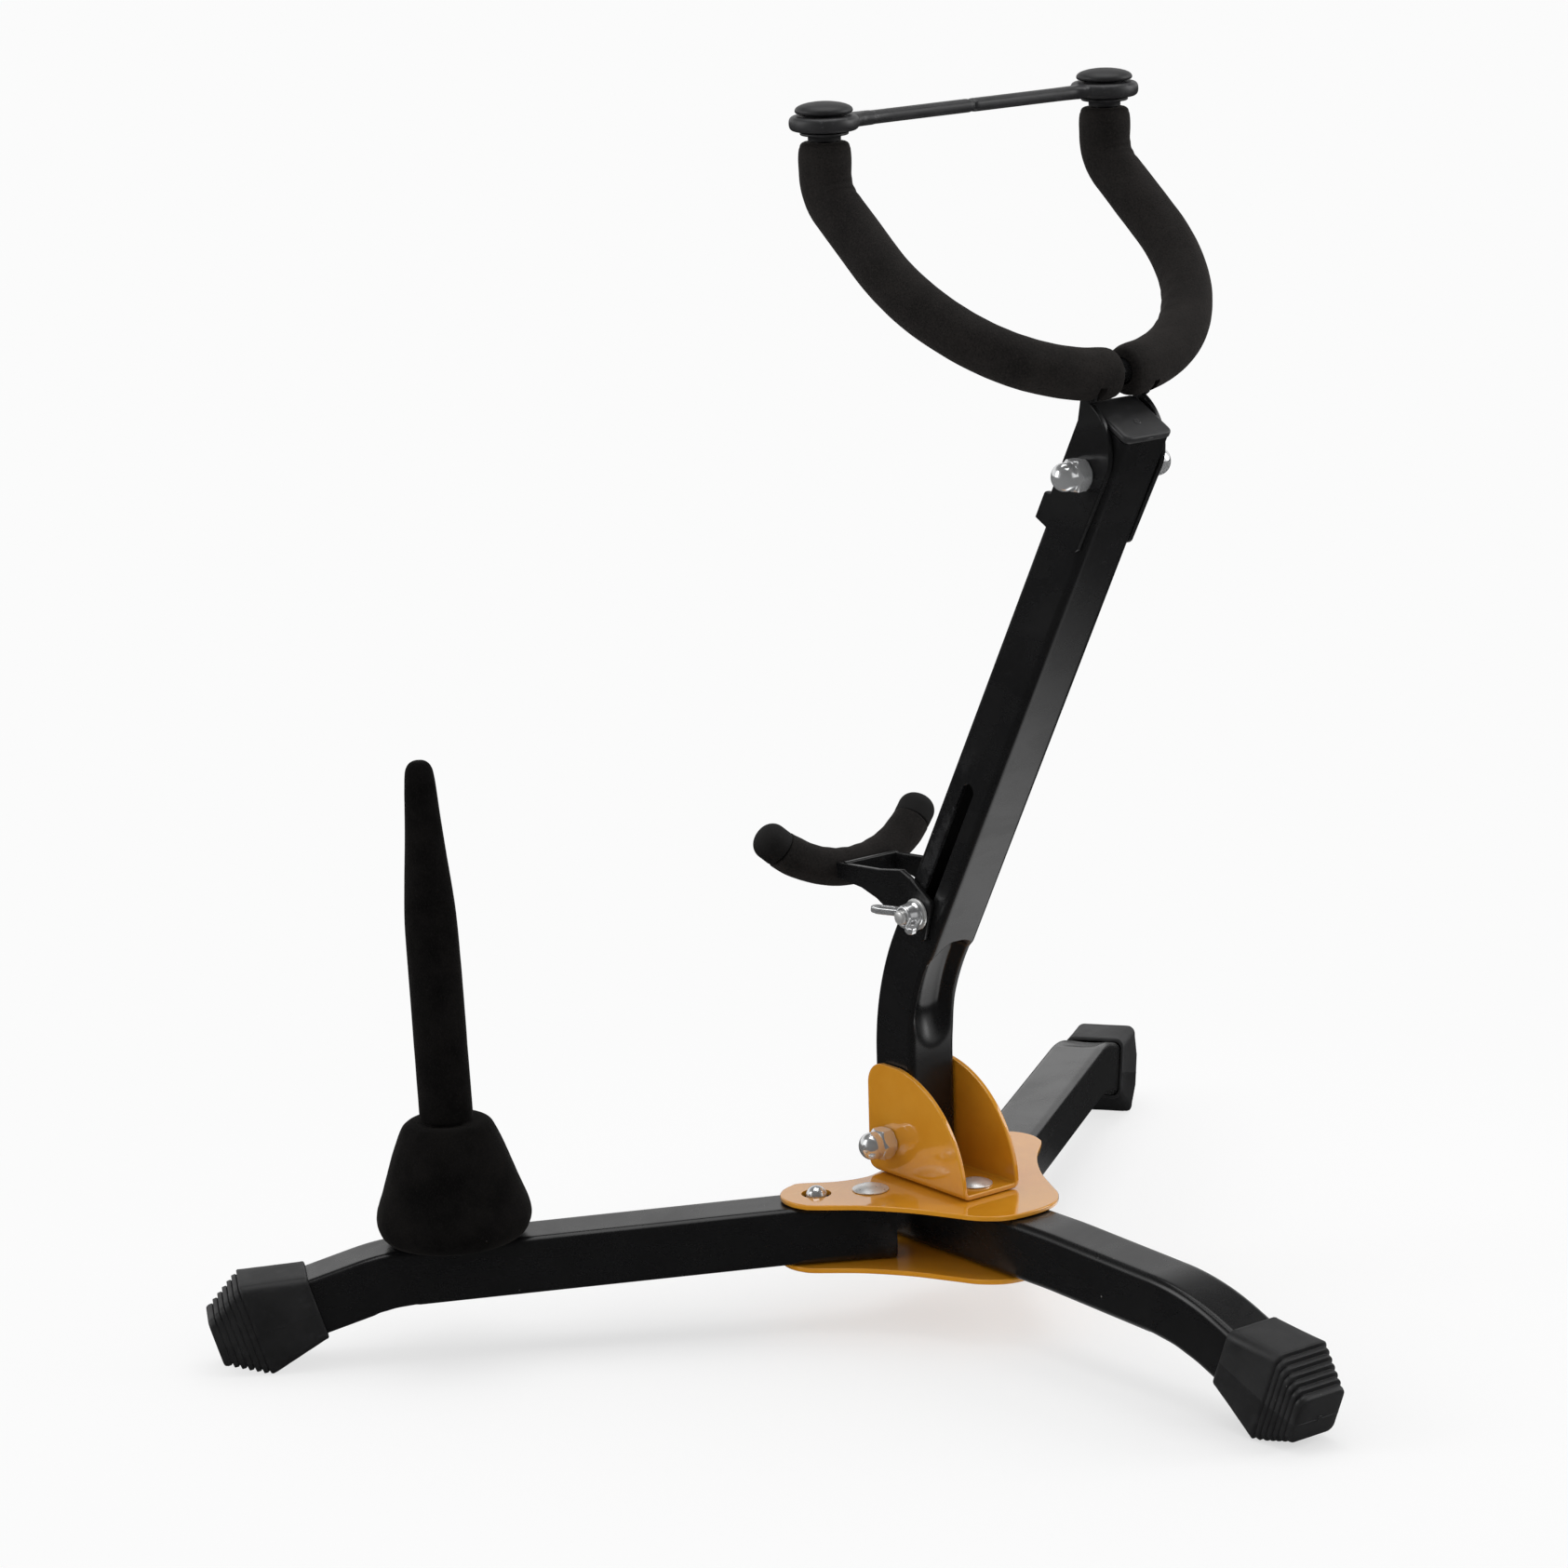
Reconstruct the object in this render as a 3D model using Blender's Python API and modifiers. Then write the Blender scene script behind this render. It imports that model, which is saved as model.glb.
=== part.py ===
"""Folding tripod saxophone stand with a screw-on flute peg.

Frame: metres, +Z up, floor at z = 0, origin in the middle of the overall footprint.
Dimensions are in millimetres and degrees; make_object scales the meshes to metres.
The pieces are laid out around the tripod's own centre and set over by CENTRE_SHIFT at the end.
The instrument side is -Y (front), the upright leans back toward +Y, pivot bolts lie along X
and "right" is +X.
"""
from math import atan2, cos, pi, radians, sin, tan

import bmesh
import bpy
from mathutils import Matrix, Vector

MM = 0.001
GAP = 0.30                      # air left between pieces that touch
CENTRE_SHIFT = (-7.22, -10.4735, 0.0)

# ---------------------------------------------------------------- driving dimensions
TUBE_HALF = 10.0                # half width of the square leg and upright tube
TUBE_WALL = 1.5
TUBE_CORNER = 2.6
PIN_R = 3.0
BORE_R = 3.08
LOOSE_BORE_R = BORE_R + 0.2

LEG_TOP = 44.0                  # height of the leg tubes' top face between the plates
LEG_SLOPE = 2.0                 # droop outside the plates
LEG_SLOPE_START = 56.0
SLOPE_EASE = 4.0                # half length of the arc that starts the slope
BOOT_OVERLAP = 20.0             # length of tube inside its boot
# inner end, bend start and boot mouth are distances along the leg; droop is the total past the bend
FRONT_LEG = dict(inner=22.7, bend_at=186.0, bend_radius=70.0, droop=17.0, boot_mouth=220.0)
BACK_LEG = dict(inner=-27.0, bend_at=106.0, bend_radius=90.0, droop=21.5, boot_mouth=142.4)
RIGHT_ANGLE = -30.0
LEFT_LOBE_ANGLE = -150.0        # the plate lobe mirrors the right one
LEFT_ANGLE = -143.0             # the leg itself is turned a little toward the front
BACK_ANGLE = 90.0
RIVET_AT = 30.0                 # distances along a front leg
DETENT_AT = 48.7
PEG_AT = 172.0

PLATE_T = 1.8
CLEVIS_HALF = 12.4
CLEVIS_T = 1.8
CLEVIS_FRONT = -32.0
CLEVIS_BACK = 18.3
CLEVIS_H = 38.5
LOWER_PIVOT_Y = -21.3
LOWER_PIVOT_UP = 10.6           # above the clevis floor

LEAN = radians(28.2)
UPRIGHT_KNEE_Z = 110.0
UPRIGHT_BEND_R = 85.0
UPPER_PIVOT_S = 220.8           # the _S lengths run up the leaning tube from the knee
UPRIGHT_TOP_S = 238.8
REST_S = 37.6
REST_TRAVEL = 52.0
CHEEK_IN = TUBE_HALF + GAP      # bracket cheeks beside the upright
CHEEK_T = 1.9
CHEEK_OUT = CHEEK_IN + CHEEK_T

YOKE_R = 59.5
YOKE_RISE = radians(38.65)
YOKE_ROD_R = 4.0
YOKE_FOAM_R = 8.5
YOKE_SEAT_S = 29.3              # height of the rod above the upper pivot, along the tube
YOKE_SEAT_FORWARD = 12.1
YOKE_ARM = 83.8                 # where the straight arm starts its bend to vertical
YOKE_TIP_BEND_R = 14.0
REST_R = 44.6
REST_HALF_ANGLE = 44.5
REST_ROD_R = 3.2
REST_FOAM_R = 6.7
REST_TILT = radians(-19.6)      # plane of the cradle, leaning forward past vertical
FOAM_PLAY = 0.35                # between a rod and its foam
SADDLE_PLAY = 0.6               # between a rod and its bracket

# ---------------------------------------------------------------- derived places
PLATE_TOP_Z = LEG_TOP + GAP
PLATE_BOTTOM_Z = LEG_TOP - 2 * TUBE_HALF - GAP
CLEVIS_Z = PLATE_TOP_Z + PLATE_T + GAP
CLEVIS_FLOOR_Z = CLEVIS_Z + CLEVIS_T
TUBE_UP = Vector((0, sin(LEAN), cos(LEAN)))         # up along the leaning tube
TUBE_BACK = Vector((0, cos(LEAN), -sin(LEAN)))      # toward its back face
LOWER_PIVOT = Vector((0, LOWER_PIVOT_Y, CLEVIS_FLOOR_Z + LOWER_PIVOT_UP))
KNEE = Vector((0, LOWER_PIVOT_Y, UPRIGHT_KNEE_Z))
UPPER_PIVOT = KNEE + TUBE_UP * UPPER_PIVOT_S
REST_PIVOT = KNEE + TUBE_UP * REST_S
YOKE_OUT = Vector((0, -cos(YOKE_RISE), sin(YOKE_RISE)))
YOKE_BOTTOM = UPPER_PIVOT + TUBE_UP * YOKE_SEAT_S + TUBE_BACK * (-YOKE_SEAT_FORWARD)
REST_ARC_BOTTOM = Vector((0, -52.0, 148.9))
REST_SEAT = REST_ARC_BOTTOM + Vector((0, 0, 1.3))
REST_UP = Vector((0, sin(REST_TILT), cos(REST_TILT)))
SIDES = (("right", 1), ("left", -1))

# ---------------------------------------------------------------- scene and finishes
for old_object in list(bpy.data.objects):
    bpy.data.objects.remove(old_object, do_unlink=True)
scene = bpy.context.scene
scene.unit_settings.system = 'METRIC'
scene.unit_settings.scale_length = 1.0
PARTS = bpy.data.collections.new("saxophone_stand")
CUTS = bpy.data.collections.new("cutters")
scene.collection.children.link(PARTS)
scene.collection.children.link(CUTS)

BLACK = dict(colour=(0.018, 0.018, 0.02), roughness=0.28, coat=0.5)
AMBER = dict(colour=(0.80, 0.42, 0.06), roughness=0.25, coat=0.8)
CHROME = dict(colour=(0.82, 0.83, 0.85), roughness=0.12, metallic=1.0)
ZINC = dict(colour=(0.70, 0.70, 0.70), roughness=0.30, metallic=1.0)
FOAM = dict(colour=(0.020, 0.019, 0.020), roughness=0.95)
RUBBER = dict(colour=(0.035, 0.035, 0.037), roughness=0.70)


def material(name, colour, roughness, metallic=0.0, coat=0.0):
    mat = bpy.data.materials.new(name)
    mat.use_nodes = True
    inputs = mat.node_tree.nodes.get("Principled BSDF").inputs
    inputs["Base Color"].default_value = (*colour, 1)
    inputs["Roughness"].default_value = roughness
    inputs["Metallic"].default_value = metallic
    inputs["Coat Weight"].default_value = coat
    return mat


# ---------------------------------------------------------------- object helpers
def make_object(name, bm, look=None):
    """Turn a millimetre bmesh into a part, or into a hidden cutter when it has no look."""
    bmesh.ops.remove_doubles(bm, verts=bm.verts, dist=1e-4)
    bmesh.ops.recalc_face_normals(bm, faces=bm.faces)
    bmesh.ops.scale(bm, vec=(MM, MM, MM), verts=bm.verts)
    mesh = bpy.data.meshes.new(name)
    bm.to_mesh(mesh)
    bm.free()
    ob = bpy.data.objects.new(name, mesh)
    if look:
        mesh.materials.append(material(name + "_mat", **look))
        PARTS.objects.link(ob)
    else:
        CUTS.objects.link(ob)
        ob.hide_render = True
        ob.display_type = 'WIRE'
    return ob


def boolean(ob, tool, operation='DIFFERENCE'):
    modifier = ob.modifiers.new("cut_" + tool.name, 'BOOLEAN')
    modifier.operation = operation
    modifier.solver = 'EXACT'
    modifier.object = tool


def edge_round(ob, width, segments):
    modifier = ob.modifiers.new("edge", 'BEVEL')
    modifier.width = width * MM
    modifier.segments = segments
    modifier.limit_method = 'ANGLE'
    modifier.angle_limit = radians(50.0)
    modifier.use_clamp_overlap = True


def evaluated_mesh(ob):
    bpy.context.view_layer.update()
    graph = bpy.context.evaluated_depsgraph_get()
    return bpy.data.meshes.new_from_object(
        ob.evaluated_get(graph), preserve_all_data_layers=False, depsgraph=graph)


def bake(ob):
    """Turn the modifier stack into plain geometry."""
    mesh = evaluated_mesh(ob)
    materials = list(ob.data.materials)
    ob.modifiers.clear()
    ob.data = mesh
    if not mesh.materials:
        for mat in materials:
            mesh.materials.append(mat)
    bm = bmesh.new()
    bm.from_mesh(mesh)
    bmesh.ops.remove_doubles(bm, verts=bm.verts, dist=2e-6)
    bmesh.ops.dissolve_degenerate(bm, edges=bm.edges, dist=2e-6)
    bm.to_mesh(mesh)
    bm.free()


def finish(ob, angle=35.0, origin=None):
    """Shade smooth up to an edge angle and move the origin to a point in millimetres."""
    mesh = ob.data
    mesh.polygons.foreach_set("use_smooth", [True] * len(mesh.polygons))
    bm = bmesh.new()
    bm.from_mesh(mesh)
    limit = radians(angle)
    for edge in bm.edges:
        edge.smooth = len(edge.link_faces) != 2 or edge.calc_face_angle() < limit
    bm.to_mesh(mesh)
    bm.free()
    if origin is not None:
        point = Vector(origin) * MM
        mesh.transform(Matrix.Translation(-point))
        ob.location = point


# ---------------------------------------------------------------- outlines and paths
def arc(centre_x, centre_y, radius, start, end, steps):
    angles = [radians(start + (end - start) * i / steps) for i in range(steps + 1)]
    return [(centre_x + radius * cos(t), centre_y + radius * sin(t)) for t in angles]


def dome(radius, base, rise, angles):
    """Elliptical (radius, height) profile points at the given angles above the rim."""
    return [(radius * cos(radians(t)), base + rise * sin(radians(t))) for t in angles]


def rounded_poly(points, radii, steps):
    """Polygon with each corner rounded to its own radius."""
    rounded = []
    for i, point in enumerate(points):
        corner = Vector(point)
        before = Vector(points[i - 1])
        after = Vector(points[(i + 1) % len(points)])
        to_before = (before - corner).normalized()
        to_after = (after - corner).normalized()
        angle = to_before.angle(to_after)
        if radii[i] < 1e-6 or angle > radians(176):
            rounded.append((corner.x, corner.y))
            continue
        trim = min(radii[i] / tan(angle / 2),
                   (before - corner).length * 0.49,
                   (after - corner).length * 0.49)
        radius = trim * tan(angle / 2)
        centre = corner + (to_before + to_after).normalized() * (radius / sin(angle / 2))
        start = corner + to_before * trim - centre
        end = corner + to_after * trim - centre
        first = atan2(start.y, start.x)
        sweep = (atan2(end.y, end.x) - first + pi) % (2 * pi) - pi
        for j in range(steps + 1):
            turn = first + sweep * j / steps
            rounded.append((centre.x + radius * cos(turn), centre.y + radius * sin(turn)))
    return rounded


def square_ring(half_width, half_height, corner, extra=0):
    """Rounded rectangle (lateral, height); 'extra' points subdivide the +height side."""
    x = half_width - corner
    y = half_height - corner
    points = arc(x, y, corner, 0, 90, 2)
    points += [(x - 2 * x * (i + 1) / (extra + 1), half_height) for i in range(extra)]
    points += arc(-x, y, corner, 90, 180, 2)
    points += arc(-x, -y, corner, 180, 270, 2)
    points += arc(x, -y, corner, 270, 360, 2)
    return points


def path_stations(start, pieces):
    """Stations (along, height, heading) of a planar path, heading measured from +along
    toward +height. Pieces are ("line", length) or ("arc", radius, degrees, steps)."""
    along, height, heading = start
    stations = [start]
    for kind, size, *bend in pieces:
        if kind == "line":
            along += size * cos(heading)
            height += size * sin(heading)
            stations.append((along, height, heading))
            continue
        degrees, steps = bend
        reach = size if degrees > 0 else -size
        for _ in range(steps):
            centre_along = along - reach * sin(heading)
            centre_height = height + reach * cos(heading)
            heading += radians(degrees) / steps
            along = centre_along + reach * sin(heading)
            height = centre_height - reach * cos(heading)
            stations.append((along, height, heading))
    return stations


def run_on(station, along_to):
    """The station straight on from another, at a given distance along."""
    along, height, heading = station
    length = (along_to - along) / cos(heading)
    return along + length * cos(heading), height + length * sin(heading), heading


def axis_frame(axis, origin):
    """Matrix whose local +Z is the given axis."""
    turn = Vector(axis).normalized().to_track_quat('Z', 'Y').to_matrix().to_4x4()
    return Matrix.Translation(Vector(origin)) @ turn


def x_axis_at(point):
    return axis_frame((1, 0, 0), point)


def tube_outline(origin, points):
    """(up the leaning tube, toward its back) pairs as (y, z) pairs."""
    placed = [origin + TUBE_UP * along + TUBE_BACK * back for along, back in points]
    return [(point.y, point.z) for point in placed]


# ---------------------------------------------------------------- solids
def loft(name, loops, look=None, ring=False, matrix=None):
    """Skin over loops of points; the ends are capped, or joined when ring is set."""
    bm = bmesh.new()
    rows = [[bm.verts.new(point) for point in loop] for loop in loops]
    pairs = list(zip(rows, rows[1:]))
    if ring:
        pairs.append((rows[-1], rows[0]))
    else:
        bm.faces.new(rows[0][::-1])
        bm.faces.new(rows[-1])
    for first, second in pairs:
        for i in range(len(first)):
            j = (i + 1) % len(first)
            bm.faces.new((first[i], first[j], second[j], second[i]))
    if matrix is not None:
        bmesh.ops.transform(bm, matrix=matrix, verts=bm.verts)
    return make_object(name, bm, look)


def prism(name, outline, low, high, axis='Z', look=None, matrix=None):
    """Extruded outline: (x, y) pairs along Z, (y, z) pairs along X, (x, z) pairs along Y."""
    place = {'X': lambda p, level: (level, p[0], p[1]),
             'Y': lambda p, level: (p[0], level, p[1]),
             'Z': lambda p, level: (p[0], p[1], level)}[axis]
    loops = [[place(point, level) for point in outline] for level in (low, high)]
    return loft(name, loops, look, matrix=matrix)


def spin(name, profile, matrix, segments, look=None):
    """Body of revolution from (radius, height) points; a profile that does not start
    and end on the axis is closed into a ring."""
    bm = bmesh.new()
    turns = [2 * pi * i / segments for i in range(segments)]
    rings = []
    for radius, z in profile:
        if radius < 1e-6:
            rings.append([bm.verts.new((0, 0, z))])
        else:
            rings.append([bm.verts.new((radius * cos(t), radius * sin(t), z)) for t in turns])
    pairs = list(zip(rings, rings[1:]))
    if not len(rings[0]) == len(rings[-1]) == 1:
        pairs.append((rings[-1], rings[0]))
    for first, second in pairs:
        for i in range(segments):
            j = (i + 1) % segments
            if len(first) == 1 and len(second) > 1:
                bm.faces.new((first[0], second[i], second[j]))
            elif len(second) == 1 and len(first) > 1:
                bm.faces.new((first[i], second[0], first[j]))
            elif len(first) > 1:
                bm.faces.new((first[i], second[i], second[j], first[j]))
    bmesh.ops.transform(bm, matrix=matrix, verts=bm.verts)
    return make_object(name, bm, look)


def cylinder(name, radius, low, high, matrix, segments=24, look=None):
    profile = [(0, low), (radius, low), (radius, high), (0, high)]
    return spin(name, profile, matrix, segments, look)


def drill(ob, name, place, radius, low=-5, high=120):
    """Vertical hole through a point's x and y."""
    matrix = Matrix.Translation((place[0], place[1], 0))
    boolean(ob, cylinder(name, radius, low, high, matrix))


def cross_bore(ob, name, point, radius):
    """Hole along X."""
    boolean(ob, cylinder(name, radius, -40, 40, x_axis_at(point)))


def rod(name, points, radius, look):
    """Round bar along 3-D points, made from a bevelled curve."""
    curve = bpy.data.curves.new(name + "_path", 'CURVE')
    curve.dimensions = '3D'
    curve.bevel_depth = radius * MM
    curve.bevel_resolution = 2
    curve.use_fill_caps = True
    curve.resolution_u = 1
    spline = curve.splines.new('POLY')
    spline.points.add(len(points) - 1)
    for target, point in zip(spline.points, points):
        target.co = (point[0] * MM, point[1] * MM, point[2] * MM, 1)
    holder = bpy.data.objects.new(name + "_curve", curve)
    scene.collection.objects.link(holder)
    mesh = evaluated_mesh(holder)
    bpy.data.objects.remove(holder, do_unlink=True)
    bm = bmesh.new()
    bm.from_mesh(mesh)
    bmesh.ops.scale(bm, vec=(1000, 1000, 1000), verts=bm.verts)     # back to millimetres
    return make_object(name, bm, look)


def sleeve(name, points, inner, outer, end_round):
    """Thick foam tube along 3-D points with softly rounded ends."""
    segments = 10
    last = len(points) - 1
    tangents = [(points[min(i + 1, last)] - points[max(i - 1, 0)]).normalized()
                for i in range(last + 1)]
    guide = Vector((0, 0, 1)) if abs(tangents[0].z) < 0.9 else Vector((0, 1, 0))
    normals = []
    for tangent in tangents:
        guide = (guide - tangent * guide.dot(tangent)).normalized()
        normals.append(guide)

    def ring(i, radius, offset=0.0):
        across = tangents[i].cross(normals[i])
        turns = [2 * pi * k / segments for k in range(segments)]
        return [points[i] + tangents[i] * offset + (normals[i] * cos(t) + across * sin(t)) * radius
                for t in turns]

    loops = [ring(0, inner),
             ring(0, outer - end_round),
             ring(0, outer - 0.3 * end_round, 0.3 * end_round),
             ring(0, outer, end_round)]
    loops += [ring(i, outer) for i in range(1, last)]
    loops += [ring(last, outer, -end_round),
              ring(last, outer - 0.3 * end_round, -0.3 * end_round),
              ring(last, outer - end_round),
              ring(last, inner)]
    loops += [ring(i, inner) for i in range(last - 1, 0, -1)]
    return loft(name, loops, FOAM, ring=True)


def swept_section(station, outline, place):
    """Put a (lateral, height) outline square to the path at a station."""
    along, height, heading = station
    return [place(along - sin(heading) * y, x, height + cos(heading) * y) for x, y in outline]


def swept_tube(name, stations, place, dent, extra=0, flip=1):
    """Hollow rounded-square tube. 'place' maps (along, lateral, height) to 3-D and
    'dent' (station index, lateral, height) gives how far a wall point is raised.
    A flip of -1 turns the section over, with its 'extra' points on the -height side."""
    inner_half = TUBE_HALF - TUBE_WALL
    outer = square_ring(TUBE_HALF, TUBE_HALF, TUBE_CORNER, extra)
    inner = square_ring(inner_half, inner_half, TUBE_CORNER - TUBE_WALL + 0.1, extra)

    def loops(section):
        section = [(x, flip * y) for x, y in section]
        return [swept_section(station, [(x, y + dent(k, x, y)) for x, y in section], place)
                for k, station in enumerate(stations)]

    return loft(name, loops(outer) + loops(inner)[::-1], BLACK, ring=True)


# ---------------------------------------------------------------- leg layout
def at_polar(angle, radius, z=0.0):
    return Vector((radius * cos(radians(angle)), radius * sin(radians(angle)), z))


def leg_place(angle, rivet=None):
    """Maps (along, across, height) of a leg; 'rivet' is the point it is set out from."""
    outward = at_polar(angle, 1.0)
    across = Vector((-outward.y, outward.x, 0))
    start = Vector((0, 0, 0)) if rivet is None else rivet - outward * RIVET_AT
    return lambda a, x, z: start + outward * a + across * x + Vector((0, 0, z))


RIVETS = {"right": at_polar(RIGHT_ANGLE, RIVET_AT),
          "left": at_polar(LEFT_LOBE_ANGLE, RIVET_AT),
          "back": Vector((0, 9.5, 0))}
PLACES = {"right": leg_place(RIGHT_ANGLE),
          "left": leg_place(LEFT_ANGLE, RIVETS["left"]),
          "back": leg_place(BACK_ANGLE)}
DETENTS = {tag: PLACES[tag](DETENT_AT, 0, 0) for tag in ("right", "left")}

# The peg stands square to the sloping top of the right leg.
_slope = radians(LEG_SLOPE)
PEG_AXIS = at_polar(RIGHT_ANGLE, sin(_slope), cos(_slope))
PEG_FOOT = at_polar(RIGHT_ANGLE, PEG_AT, LEG_TOP - (PEG_AT - LEG_SLOPE_START) * tan(_slope))
PEG_FRAME = axis_frame(PEG_AXIS, PEG_FOOT)

# ---------------------------------------------------------------- plates
# (x, y) points of the +X half, tail to lobe and lobe to front notch, either side of the tip
PLATE_TAIL = [(0.0, 40.0), (10.5, 38.3), (18.0, 32.0), (22.5, 23.5), (29.5, 10.0), (39.5, -3.5)]
PLATE_NOTCH = [(28.5, -30.0), (17.5, -27.2), (8.0, -29.4)]
PLATE_FRONT_MIDDLE = (0, -30.2)
LOBE_AT = 47.5                  # centre of the lobe's round tip
LOBE_R = 13.6


def plate_outline():
    """Two long lobes over the front legs and a rounded tail, smoothed by Catmull-Rom."""
    lobe = at_polar(RIGHT_ANGLE, LOBE_AT)
    half = PLATE_TAIL + arc(lobe.x, lobe.y, LOBE_R, 42.0, -98.0, 8) + PLATE_NOTCH
    mirrored = [(-x, y) for x, y in reversed(half[1:])]
    knots = [Vector(point) for point in half + [PLATE_FRONT_MIDDLE] + mirrored]
    count = len(knots)
    outline = []
    for i in range(count):
        before, start, end, after = (knots[(i + k) % count] for k in (-1, 0, 1, 2))
        steps = 2 if (end - start).length > 6 else 1
        for j in range(steps):
            t = j / steps
            point = 0.5 * (2 * start + (end - before) * t
                           + (2 * before - 5 * start + 4 * end - after) * t * t
                           + (3 * start - before - 3 * end + after) * t ** 3)
            outline.append((point.x, point.y))
    return outline


def plate(name, low, windows):
    ob = prism(name, plate_outline(), low, low + PLATE_T, look=AMBER)
    edge_round(ob, width=0.45, segments=1)
    for k, rivet_at in enumerate(RIVETS.values()):
        drill(ob, f"{name}_bore_{k}", rivet_at, LOOSE_BORE_R)
    for tag in windows:
        drill(ob, f"{name}_window_{tag}", DETENTS[tag], 5.1)
    bake(ob)
    finish(ob)


plate("top_plate", PLATE_TOP_Z, windows=("right", "left"))
plate("bottom_plate", PLATE_BOTTOM_Z - PLATE_T, windows=())


# ---------------------------------------------------------------- clevis
def clevis():
    """Folded U channel trimmed to a rounded side view."""
    base = CLEVIS_Z
    half = CLEVIS_HALF
    inside = half - CLEVIS_T
    fold_out = 2.6
    fold_in = 0.8
    top = base + CLEVIS_H + 4
    out_x, out_z = half - fold_out, base + fold_out
    in_x, in_z = inside - fold_in, CLEVIS_FLOOR_Z + fold_in
    channel = arc(-out_x, out_z, fold_out, 180, 270, 4) + arc(out_x, out_z, fold_out, 270, 360, 4)
    channel += [(half, top), (inside, top)]
    channel += arc(in_x, in_z, fold_in, 0, -90, 2) + arc(-in_x, in_z, fold_in, 270, 180, 2)
    channel += [(-inside, top), (-half, top)]
    ob = prism("upright_clevis", channel, CLEVIS_FRONT - 3, CLEVIS_BACK + 3, 'Y', AMBER)

    back_r = CLEVIS_H + 1.2
    side = [(CLEVIS_FRONT + 4.0, base - 2), (CLEVIS_BACK, base - 2), (CLEVIS_BACK, base)]
    side += arc(CLEVIS_BACK - back_r, base, back_r, 4, 92, 14)
    side += arc(CLEVIS_FRONT + 8.0, base + back_r - 8.0 - 0.3, 8.0, 100, 180, 5)
    side += arc(CLEVIS_FRONT + 4.5, base + 4.8, 4.5, 180, 262, 4)
    boolean(ob, prism("clevis_side", side, -30, 30, 'X'), 'INTERSECT')
    cross_bore(ob, "clevis_pin_bore", LOWER_PIVOT, PIN_R + 0.15)
    drill(ob, "clevis_rivet_bore", RIVETS["back"], LOOSE_BORE_R, base - 5, base + 10)
    bake(ob)
    finish(ob)


clevis()


# ---------------------------------------------------------------- rivets
def rivet(name, place, top, head_r):
    low = PLATE_BOTTOM_Z - PLATE_T - 0.15
    high = top + 0.15
    profile = [(0, low - 1.7), (3.8, low - 1.5), (6.0, low - 0.5), (6.0, low),
               (PIN_R, low), (PIN_R, high),
               (head_r, high), (head_r, high + 0.35), (head_r - 0.6, high + 0.9),
               (head_r - 3.0, high + 1.5), (0, high + 1.7)]
    finish(spin(name, profile, Matrix.Translation(place), 20, ZINC))


rivet("right_leg_rivet", RIVETS["right"], PLATE_TOP_Z + PLATE_T, 6.3)
rivet("left_leg_rivet", RIVETS["left"], PLATE_TOP_Z + PLATE_T, 6.3)
rivet("clevis_rivet", RIVETS["back"], CLEVIS_FLOOR_Z, 6.0)

# ---------------------------------------------------------------- legs and feet
BEND_START = 4                  # index of the station where the main bend starts
# how far the underside is raised at the stations that follow BEND_START
BEND_RIPPLES = (0.55, -0.35, 0.75, -0.30, 0.40)
BOOT_DEPTH = 22.5               # socket depth
BOOT_BODY_END = 22.4            # where the ribs start
BOOT_RIBS = 5
FLOOR_CUT = prism("floor_cut", [(-400, -400), (400, -400), (400, 400), (-400, 400)], -20, 0)


def leg_stations(inner, bend_at, bend_radius, droop, boot_mouth):
    slope = radians(LEG_SLOPE)
    sloping = (bend_at - LEG_SLOPE_START) / cos(slope) - SLOPE_EASE
    stations = path_stations((inner, LEG_TOP - TUBE_HALF, 0.0), [
        ("line", LEG_SLOPE_START - SLOPE_EASE - inner),
        ("arc", 2 * SLOPE_EASE / slope, -LEG_SLOPE, 2),
        ("line", sloping),
        ("arc", bend_radius, -(droop - LEG_SLOPE), 7)])
    return stations + [run_on(stations[-1], boot_mouth + BOOT_OVERLAP)]


def leg_dent(station, x, y):
    """Ripples in the underside of the main bend."""
    ripple = station - BEND_START - 1
    if y > -0.5 * TUBE_HALF or not 0 <= ripple < len(BEND_RIPPLES):
        return 0.0
    return BEND_RIPPLES[ripple] * max(0.0, 1 - (x / (TUBE_HALF - 0.4)) ** 2)


def leg_tube(tag, stations):
    ob = swept_tube(tag + "_leg_tube", stations, PLACES[tag], leg_dent)
    if tag == "back":
        drill(ob, "back_leg_bore", RIVETS["back"], LOOSE_BORE_R)
    else:
        drill(ob, tag + "_leg_bore", PLACES[tag](RIVET_AT, 0, 0), BORE_R)
        drill(ob, tag + "_leg_window", DETENTS[tag], 3.75, LEG_TOP - 5, LEG_TOP + 5)
    if tag == "right":
        boolean(ob, cylinder("peg_leg_bore", PIN_R + 0.2, -6, 6, PEG_FRAME))
    return ob


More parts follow.
